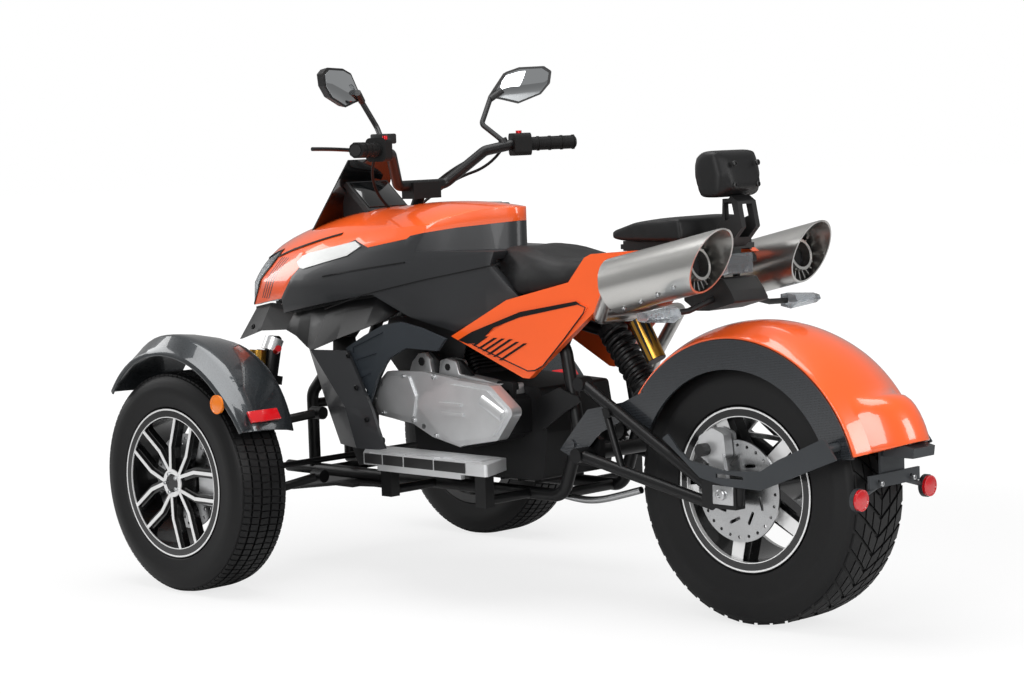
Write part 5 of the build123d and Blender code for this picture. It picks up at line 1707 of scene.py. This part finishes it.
# ---------------------------------------------------------------- running gear trim
@dataclass
class Springs:
    """Wound springs, damper heads, canisters and knobs.

    Sizes are in millimetres.
    """

    # Springs: the damper's two ends, where the wire starts and ends along them, coil and wire radius, turns.
    front: tuple = ((820, 340, 253.3), (812, 262, 625), 0.09, 0.7, 33, 6.2, 8.5)
    rear: tuple = ((-150, 0, 690), (-290, 0, 512), 0.15, 0.85, 33, 6.4, 7.5)
    # Bars by their two ends, radius and rounding.
    front_canister: tuple = (((817, 324, 535), (817, 314, 605)), 23.2, 1.6)
    canister_ring: tuple = (((817, 324, 536), (817, 324.3, 533)), 24.5, 1.6)
    rear_canister: tuple = (((-303, 55, 699), (-358, 55, 607)), 25, 2.0)
    head: tuple = (((809, 262, 632), (812, 276, 600)), 26, 0)
    knob: tuple = (((760, 300, 603), (736, 312, 612)), 9, 0)
    head_rounding: float = 3

    def build(self) -> None:
        """Wind the springs over their dampers and add what is clamped to them."""
        place(both_sides(self._wound(*self.front)), "front_springs", "black_gloss", "chassis", smooth=60)
        place(self._wound(*self.rear), "rear_spring", "black_gloss", "chassis", smooth=60)
        front_cans = both_sides(joined([self._bar(*self.front_canister), self._bar(*self.canister_ring)]))
        canisters = joined([front_cans, self._bar(*self.rear_canister)])
        place(canisters, "damper_canisters", "gold_anodised", "chassis", smooth=50)
        knobs = both_sides(self._bar(*self.knob))
        heads = both_sides(self._bar(*self.head))
        round_edges(heads, self.head_rounding)
        place(heads, "damper_heads", "cast_aluminium", "chassis", smooth=50)
        place(knobs, "damper_knobs", "red_anodised", "chassis", smooth=50)

    def _wound(self, start: Point, end: Point, first: float, last: float, radius: float, wire: float,
               turns: float) -> Piece:
        """Wind one spring along a damper.

        Args:
            start: one end of the damper.
            end: its other end.
            first: share of the damper where the spring starts.
            last: share where it ends.
            radius: radius to the wire's centre.
            wire: radius of the wire.
            turns: number of turns.

        Returns:
            The spring.
        """
        base = Vector(start)
        line = Vector(end) - base
        return coil(base + line * first, base + line * last, radius, wire, turns)

    def _bar(self, ends: Sequence[Point], radius: float, rounding: float) -> Piece:
        """Make one straight bar.

        Args:
            ends: its two ends.
            radius: radius of the bar.
            rounding: bevel of its rims, or 0 for sharp ones.

        Returns:
            The bar.
        """
        bar = round_bar(ends, radius, smooth=False)
        if rounding:
            round_edges(bar, rounding)
        return bar


@dataclass
class Reflectors:
    """Round and rectangular reflectors.

    Sizes are in millimetres.
    """

    disc_r: float = 24
    disc_height: float = 7
    rim_width: float = 2.5
    groove_width: float = 0.6
    groove_depth: float = 1.2
    dome: float = 1.6
    rear_at: Point = (-1005, 130, 331)
    side_at: Point = (596, 632.8, 505)
    # Fender reflector: place of its foot, reach in Y, and its lean and height.
    bar_at: tuple = (511, 458)
    bar_span: tuple = (505, 600)
    bar_lean: float = 17
    bar_height: float = 26
    bar_push: Point = (-6, 0, 4)

    def build(self) -> None:
        """Make the reflectors at the rear plate and on the front fenders."""
        disc = self._disc()
        x, y, z = self.rear_at
        rear = repeated(twin(disc), [frame_at((x, side, z), (-1, 0, 0)) for side in (-y, y)])
        place(rear, "rear_reflectors", "red_reflector", "chassis", slot="red_lens")
        for side, hand in HANDS:
            x, y, z = self.side_at
            body = f"knuckle_{side}"
            ring = repeated(twin(disc), [frame_at((x, hand * y, z), (0, hand, 0))])
            place(ring, f"side_reflector_{side}", "amber_reflector", body, slot="red_lens")
            place(self._bar(hand), f"fender_reflector_{side}", "red_reflector", body, slot="red_lens")
        discard(disc)

    def _bar(self, hand: int) -> Piece:
        """Make one rectangular reflector that leans with the fender's rear edge.

        Args:
            hand: 1 for the left and -1 for the right.

        Returns:
            The reflector.
        """
        x, z = self.bar_at
        inner, outer = (hand * y for y in self.bar_span)
        top_x, top_z = x + self.bar_lean, z + self.bar_height
        face = [(x, inner, z), (x, outer, z), (top_x, outer, top_z), (top_x, inner, top_z)]
        return slab(face, self.bar_push, 1.2)

    def _disc(self) -> Piece:
        """Make one round reflector with a raised rim and a domed face.

        Returns:
            The reflector, standing on the origin.
        """
        disc = standing_disc(self.disc_r, self.disc_height, 36)
        bpy.ops.mesh.inset(thickness=self.rim_width * MM)
        bpy.ops.mesh.inset(thickness=self.groove_width * MM, depth=-self.groove_depth * MM)
        bpy.ops.mesh.inset(thickness=self.disc_r * MM / 2, depth=self.dome * MM)
        bpy.ops.object.mode_set(mode="OBJECT")
        return disc


@dataclass
class Fasteners:
    """Screws, rivets and wheel nuts over the whole vehicle.

    Sizes are in millimetres. A place is a point and the direction that its head looks in.
    """

    # Screws of the shields and the nose, on the left.
    body: tuple = (((505, 272, 600), (0.2, 1, 0)), ((465, 285, 520), (0.2, 1, 0)),
                   ((425, 289, 440), (0.2, 1, 0)), ((895, 262, 660), (0, 1, 0.3)))
    # Screws round the transmission cover: X and Z, and the Y of its face.
    case: tuple = ((452, 488), (430, 524), (352, 548), (240, 552), (146, 545), (40, 534), (-22, 484),
                   (14, 424), (144, 388), (238, 404), (318, 438), (430, 452))
    case_face: float = 223
    # Plate screws, and studs of the backrest.
    plate: tuple = ((-1014, -61, 360), (-1014, 61, 360))
    studs: tuple = ((-600, -42, 1073), (-600, -42, 1023), (-600, 42, 1073), (-600, 42, 1023))
    # Rivets along the left muffler.
    rivets: tuple = (((-414, 230, 746), (-0.2, 0.48, -0.85)), ((-470, 233, 763), (-0.2, 0.58, -0.79)),
                     ((-526, 238, 781), (-0.2, 0.69, -0.7)), ((-577, 241, 799), (-0.2, 0.77, -0.61)))
    # Wheel nuts: count, radius of their ring, angle of the first, and the hub's face.
    nuts: int = 5
    nut_ring: float = 24
    first_nut: float = 72
    hub: Point = (820, 616, 286)

    def build(self) -> None:
        """Set the screws in their groups."""
        shields = [spot for place_left in self.body for spot in self._pair(*place_left)]
        self._set("body_screws", "black_gloss", 7, 4, shields)
        case = [((x, self.case_face, z), (0, 1, 0)) for x, z in self.case]
        self._set("case_screws", "brake_steel", 6, 5, case)
        self._set("backrest_screws", "black_plastic", 7, 4, [(at, (-1, 0, 0.1)) for at in self.studs])
        rear = [(at, (-1, 0, 0)) for at in self.plate]
        rear += [spot for place_left in self.rivets for spot in self._pair(*place_left)]
        self._set("rear_screws", "brake_steel", 6, 4, rear)
        axle_x, face, axle_z = self.hub
        for side, hand in HANDS:
            nuts = []
            for number in range(self.nuts):
                turn = math.radians(self.first_nut + number * 360 / self.nuts)
                across, up = self.nut_ring * math.cos(turn), self.nut_ring * math.sin(turn)
                nuts.append(((axle_x + across, hand * face, axle_z + up), (0, hand, 0)))
            self._set(f"wheel_nuts_{side}", "brake_steel", 5, 6, nuts, f"front_wheel_{side}")

    def _pair(self, at: Point, along: Point) -> list[tuple[Point, Point]]:
        """Give a place on the left and its mirror image on the right."""
        return [((at[0], hand * at[1], at[2]), (along[0], hand * along[1], along[2])) for _, hand in HANDS]

    def _set(self, name: str, finish: str, radius: float, height: float, places: Sequence,
             body: str = "chassis") -> None:
        """Set one group of screws.

        Args:
            name: plain name of the group.
            finish: key in FINISHES.
            radius: radius of the heads.
            height: height of the heads.
            places: where the heads stand and look.
            body: body that the group rides on.
        """
        row = repeated(cap_screw(radius, height), [frame_at(at, along) for at, along in places])
        place(row, name, finish, body, smooth=40)


@dataclass
class Graphics:
    """Swoosh and stripes as thin trims on the tail panels.

    Sizes are in millimetres. Outlines are X and Z as seen from the side.
    """

    # The left tail panel's plane: a point of it in X and Y, and its turn in degrees.
    hinge: tuple = (197, 200)
    taper: float = 7.5
    swoosh: tuple = ((172, 646), (128, 668), (-24, 721), (-193, 750), (-204, 744), (-193, 741), (-24, 708),
                     (60, 680), (88, 656), (112, 640), (141, 638))
    swoosh_edge: tuple = ((-193, 745), (-220, 736), (-214, 722), (-150, 653), (-88, 590), (-64, 578),
                          (-42, 576), (20, 598), (128, 637))
    edge_r: float = 1.6
    # Stripes: top and foot of their rear edge, and their width.
    stripes: tuple = (((75, 658), (115, 635)), ((48, 655), (100, 627)), ((24, 654), (85, 621)),
                      ((0, 653), (71, 613)), ((-20, 647), (53, 608)), ((-44, 644), (35, 600)))
    stripe_width: float = 11
    swoosh_lift: float = 4.0
    stripe_lift: float = 4.8
    film: float = 0.8

    def build(self) -> None:
        """Make the trims on both sides."""
        route = [self._spot(x, z, self.swoosh_lift) for x, z in self.swoosh_edge]
        edge = round_bar(route, self.edge_r, smooth=False)
        swoosh = joined([self._on_tail(self.swoosh, self.swoosh_lift), edge])
        place(both_sides(swoosh), "tail_swoosh", "black_gloss", "chassis")
        stripes = []
        for top, foot in self.stripes:
            front = [(x + self.stripe_width, z) for x, z in (top, foot)]
            stripes.append(self._on_tail([top, *front, foot], self.stripe_lift))
        place(both_sides(joined(stripes)), "tail_stripes", "black_gloss", "chassis")

    def _spot(self, x: float, z: float, lift: float) -> Point:
        """Give a point above the leaning tail panel.

        Args:
            x: X on the panel before it is turned.
            z: height.
            lift: distance from the panel's plane.

        Returns:
            The point in millimetres.
        """
        turn = math.radians(self.taper)
        hinge_x, hinge_y = self.hinge
        run = x - hinge_x
        return (hinge_x + run * math.cos(turn) - lift * math.sin(turn),
                hinge_y + run * math.sin(turn) + lift * math.cos(turn), z)

    def _on_tail(self, outline: Sequence[Flat], lift: float) -> Piece:
        """Lay a thin film on the leaning tail panel.

        Args:
            outline: X and Z of its corners.
            lift: distance from the panel's plane.

        Returns:
            The film.
        """
        turn = math.radians(self.taper)
        points = [self._spot(x, z, lift) for x, z in outline]
        return slab(points, (-self.film * math.sin(turn), self.film * math.cos(turn), 0))


@dataclass
class BarGear:
    """Grips, levers, switches, hoses, mirror glass and the display.

    Sizes are in millimetres.
    """

    lever: tuple = ((436, 246, 1126), (462, 262, 1126), (440, 330, 1130), (424, 400, 1133), (418, 444, 1134))
    lever_r: float = 5.2
    perch: tuple = ((392, 240, 1126), (450, 256, 1126))
    perch_r: float = 11
    # Fluid pot: plan, Z of its foot, height and rounding.
    pot: tuple = (((396, 176), (450, 186), (444, 226), (390, 216)), 1140, 26, 4)
    # Switches: foot and radius, then the height of them all.
    switches: tuple = (((352, 258, 1152), 7), ((372, -246, 1154), 8))
    switch_height: float = 9
    # Hoses from the switch housings down to the column, as given routes.
    hoses: tuple = (
        ((430, -226, 1120), (470, -200, 1104), (540, -150, 1062), (590, -90, 1000), (588, -40, 962)),
        ((430, -232, 1108), (450, -210, 1070), (520, -150, 1040), (576, -100, 990), (566, -40, 962)),
        ((440, 200, 1142), (490, 170, 1110), (560, 120, 1050), (592, 60, 990), (580, 30, 962)),
    )
    hose_r: float = 4
    # Display: corners of its face and the way that it looks.
    display: tuple = ((631, -66, 972), (631, 66, 972), (706, 66, 1036), (706, -66, 1036))
    display_push: Point = (-1.2, 0, 1.6)
    # Grip: the bar's inner and outer end, its ribs, and the radius of plain and proud ribs.
    grip_ends: tuple = ((388, 235, 1126), (309, 398, 1128))
    ribs: int = 22
    rib_start: float = 8
    rib_pitch: float = 5.6
    rib_width: float = 3.2
    rib_radii: tuple = (19.0, 20.6)
    proud_every: int = 6
    # Mirror: middle of the face, its turn in degrees, outline across and up, and its share of the housing.
    mirror_at: Point = (430, 330, 1285)
    mirror_turn: float = 18
    mirror_outline: tuple = ((-106, -31), (-53, 36), (-12, 48), (65, 50), (88, 36), (82, 3), (53, -26),
                             (-18, -50), (-65, -39))
    mirror_share: tuple = (0.9, 0.88)

    def build(self) -> None:
        """Make the small gear on the handlebar."""
        self._grips()
        levers, perches = [], []
        for _, hand in HANDS:
            lever, perch = ([(x, hand * y, z) for x, y, z in route] for route in (self.lever, self.perch))
            levers.append(round_bar(lever, self.lever_r))
            perches.append(round_bar(perch, self.perch_r, smooth=False))
        place(joined(levers), "levers", "black_plastic", "steering", smooth=50)
        place(joined(perches), "lever_perches", "black_plastic", "steering", smooth=40)
        plan, foot, height, rounding = self.pot
        pot = slab([(x, y, foot) for x, y in plan], (0, 0, height), rounding)
        place(pot, "brake_fluid_pot", "black_plastic", "steering")
        switches = joined([self._switch(at, radius) for at, radius in self.switches])
        place(switches, "red_switches", "red_anodised", "steering", smooth=50)
        hoses = joined([round_bar(route, self.hose_r) for route in self.hoses])
        place(hoses, "bar_hoses", "grip_rubber", "steering", smooth=60)
        self._glass()
        place(slab(self.display, self.display_push, 0.4), "display_glass", "dark_screen", "chassis")

    def _switch(self, at: Point, radius: float) -> Piece:
        """Make one round switch with a rounded rim.

        Args:
            at: foot of the switch.
            radius: radius of its button.

        Returns:
            The switch.
        """
        knob = round_bar([at, (at[0], at[1], at[2] + self.switch_height)], radius, smooth=False)
        round_edges(knob, 1.4)
        return knob

    def _grips(self) -> None:
        """Make the ribbed grips over the bar's ends."""
        start, end = (Vector(point) for point in self.grip_ends)
        line = (end - start).normalized()
        plain, proud = self.rib_radii
        rings = []
        for number in range(self.ribs):
            at = end - line * (self.rib_start + number * self.rib_pitch)
            radius = plain if number % self.proud_every else proud
            rings.append(round_bar([at, at + line * self.rib_width], radius, smooth=False))
        place(both_sides(joined(rings)), "grip_ribs", "grip_rubber", "steering", smooth=40)

    def _glass(self) -> None:
        """Make the mirror glasses on their turned faces."""
        turn = math.radians(self.mirror_turn)
        across = Vector((-math.sin(turn), math.cos(turn), 0))
        ahead = Vector((math.cos(turn), math.sin(turn), 0))
        width, height = self.mirror_share
        points = []
        for u, v in self.mirror_outline:
            side = across * (u * width - 1)
            points.append(Vector(self.mirror_at) + side + Vector((0, 0, v * height)) - ahead * 0.2)
        glass = slab(points, tuple(-ahead * 1.2), 0.4)
        place(both_sides(glass), "mirror_glass", "mirror_silver", "steering")


@dataclass
class RunningGear:
    """Castings, footboard pads, axle plates, hoses and muffler baffles.

    Sizes are in millimetres. Outlines are X and Z as seen from the side.
    """

    # Lugs of the crankcase: outline, inner face and thickness, then the plugs in them by place and radius.
    crest: tuple = (
        (468, 452), (466, 494), (446, 524), (412, 549), (389, 556), (378, 580), (355, 602), (330, 606),
        (312, 590), (306, 551), (281, 552), (274, 588), (252, 594), (216, 588), (206, 556), (162, 551),
        (118, 546), (72, 539), (17, 541), (12, 500), (60, 470),
    )
    crest_face: float = 128
    crest_wall: float = 40
    plugs: tuple = ((341, 582, 11), (246, 572, 9), (436, 500, 8))
    plug_span: tuple = (167, 170)
    # Footboard pads by their ends in X, and how far below the board's top they reach.
    pads: tuple = ((375, 313), (307, 236), (230, 128), (122, 14))
    pad_drops: tuple = (30, 5)
    pad_wall: float = 1.8
    pad_gap: float = 0.2
    # Dark inner panels: outline and the Y of their inner face.
    panels: tuple = (
        (((520, 690), (262, 690), (236, 640), (262, 545), (470, 520), (560, 610)), 104),
        (((645, 640), (560, 640), (520, 470), (470, 330), (560, 300), (625, 420), (650, 560)), 196),
    )
    panel_wall: float = 4
    # Axle plate: outline, inner face, thickness, and the nut on it.
    axle_plate: tuple = ((-684, 297), (-623, 297), (-623, 341), (-684, 341))
    axle_face: float = 172
    axle_wall: float = 5
    axle_nut: Point = (-650, 176, 320)
    caliper_knob: tuple = ((-581, 146, 417), (-581, 170, 417))
    # Braided hose under the frame, as a given route.
    braid: tuple = ((-35, 80, 262), (-113, 80, 252), (-170, 80, 254), (-228, 80, 266), (-320, 80, 292))
    braid_r: float = 9
    # Left muffler: its axis, how far along it the baffle sits, the plate's size, and its vanes.
    muffler: tuple = ((-365, 200, 795), (-690, 183, 867))
    baffle_depth: float = 226
    baffle_r: float = 61
    baffle_wall: float = 3
    vanes: int = 20
    vane_size: tuple = (20, 2.8, 8)
    vane_at: Point = (49, 0, 6)

    def build(self) -> None:
        """Make the small castings and trims low on the vehicle."""
        casting = self._plate(self.crest, self.crest_face, self.crest_wall, 3)
        place(casting, "crankcase_lugs", "cast_aluminium", "chassis")
        low, high = self.plug_span
        plugs = [round_bar([(x, low, z), (x, high, z)], radius, smooth=False) for x, z, radius in self.plugs]
        place(joined(plugs), "crankcase_plugs", "black_plastic", "chassis")
        self._pads()
        panels = [self._plate(outline, face, self.panel_wall, 1) for outline, face in self.panels]
        place(both_sides(joined(panels)), "inner_panels", "black_plastic", "chassis")
        plate = self._plate(self.axle_plate, self.axle_face, self.axle_wall, 1.5)
        nut = repeated(cap_screw(13, 8), [frame_at(self.axle_nut, (0, 1, 0))])
        place(both_sides(joined([plate, nut])), "axle_plates", "brake_steel", "chassis")
        knob = round_bar(self.caliper_knob, 15, smooth=False)
        round_edges(knob, 3)
        place(knob, "caliper_knob", "black_plastic", "chassis")
        place(round_bar(self.braid, self.braid_r), "braided_hose", "brake_steel", "chassis", smooth=60)
        self._baffles()

    def _plate(self, outline: Sequence[Flat], face: float, wall: float, rounding: float) -> Piece:
        """Make an upright plate that faces sideways.

        Args:
            outline: X and Z of its corners.
            face: Y of its inner face.
            wall: thickness.
            rounding: bevel of its edges.

        Returns:
            The plate.
        """
        return slab([(x, face, z) for x, z in outline], (0, wall, 0), rounding)

    def _pads(self) -> None:
        """Make the rubber pads along the outer edges of the footboards."""
        _, side, top = (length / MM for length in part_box("footboards")[1])
        low, high = (top - drop for drop in self.pad_drops)
        pads = []
        for start, end in self.pads:
            outline = ((start, low), (end, low), (end, high), (start, high))
            pads.append(self._plate(outline, side + self.pad_gap, self.pad_wall, 0.5))
        place(both_sides(joined(pads)), "footboard_pads", "black_plastic", "chassis")

    def _baffles(self) -> None:
        """Make the slotted plates inside the muffler outlets."""
        front, back = (Vector(point) for point in self.muffler)
        along = (back - front).normalized()
        seat = frame_at(front + along * self.baffle_depth, along)
        disc = round_bar([(0, 0, 0), (0, 0, self.baffle_wall)], self.baffle_r, smooth=False)
        disc.data.transform(seat)
        place(both_sides(disc), "baffle_plates", "engine_black", "chassis")
        clear_selection()
        bpy.ops.mesh.primitive_cube_add(size=1.0)
        vane = bpy.context.active_object
        size = Matrix.Diagonal((*(length * MM for length in self.vane_size), 1))
        vane.data.transform(Matrix.Translation(Vector(self.vane_at) * MM) @ size)
        turns = [Matrix.Rotation(math.tau * n / self.vanes, 4, "Z") for n in range(self.vanes)]
        ring = repeated(vane, [seat @ turn for turn in turns])
        place(both_sides(ring), "baffle_vanes", "brushed_stainless", "chassis")


def build_pieces() -> None:
    """Build every sub-assembly in order."""
    rear = Tyre("rear_tyre", "rear_wheel", (-650, 0, 321), 321, 102, 96, Tread.ARROW, pitches=44)
    fronts = [Tyre(f"front_tyre_{side}", f"front_wheel_{side}", (820, hand * 539, 286), 286, 82, 77,
                   Tread.RIBBED, pitches=96) for side, hand in HANDS]
    for assembly in (rear, *fronts, Bodywork(), FrontFender(), RearFender(), Upholstery(), Springs(),
                     Reflectors(), Fasteners(), Graphics(), BarGear(), RunningGear()):
        LOG.info("building %s", type(assembly).__name__)
        assembly.build()


def main() -> None:
    """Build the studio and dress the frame."""
    logging.basicConfig(level=logging.INFO, format="%(message)s")
    bpy.ops.object.select_all(action="DESELECT")
    Studio().build()
    FrameDress().build()
    build_pieces()


if __name__ == "__main__":
    main()
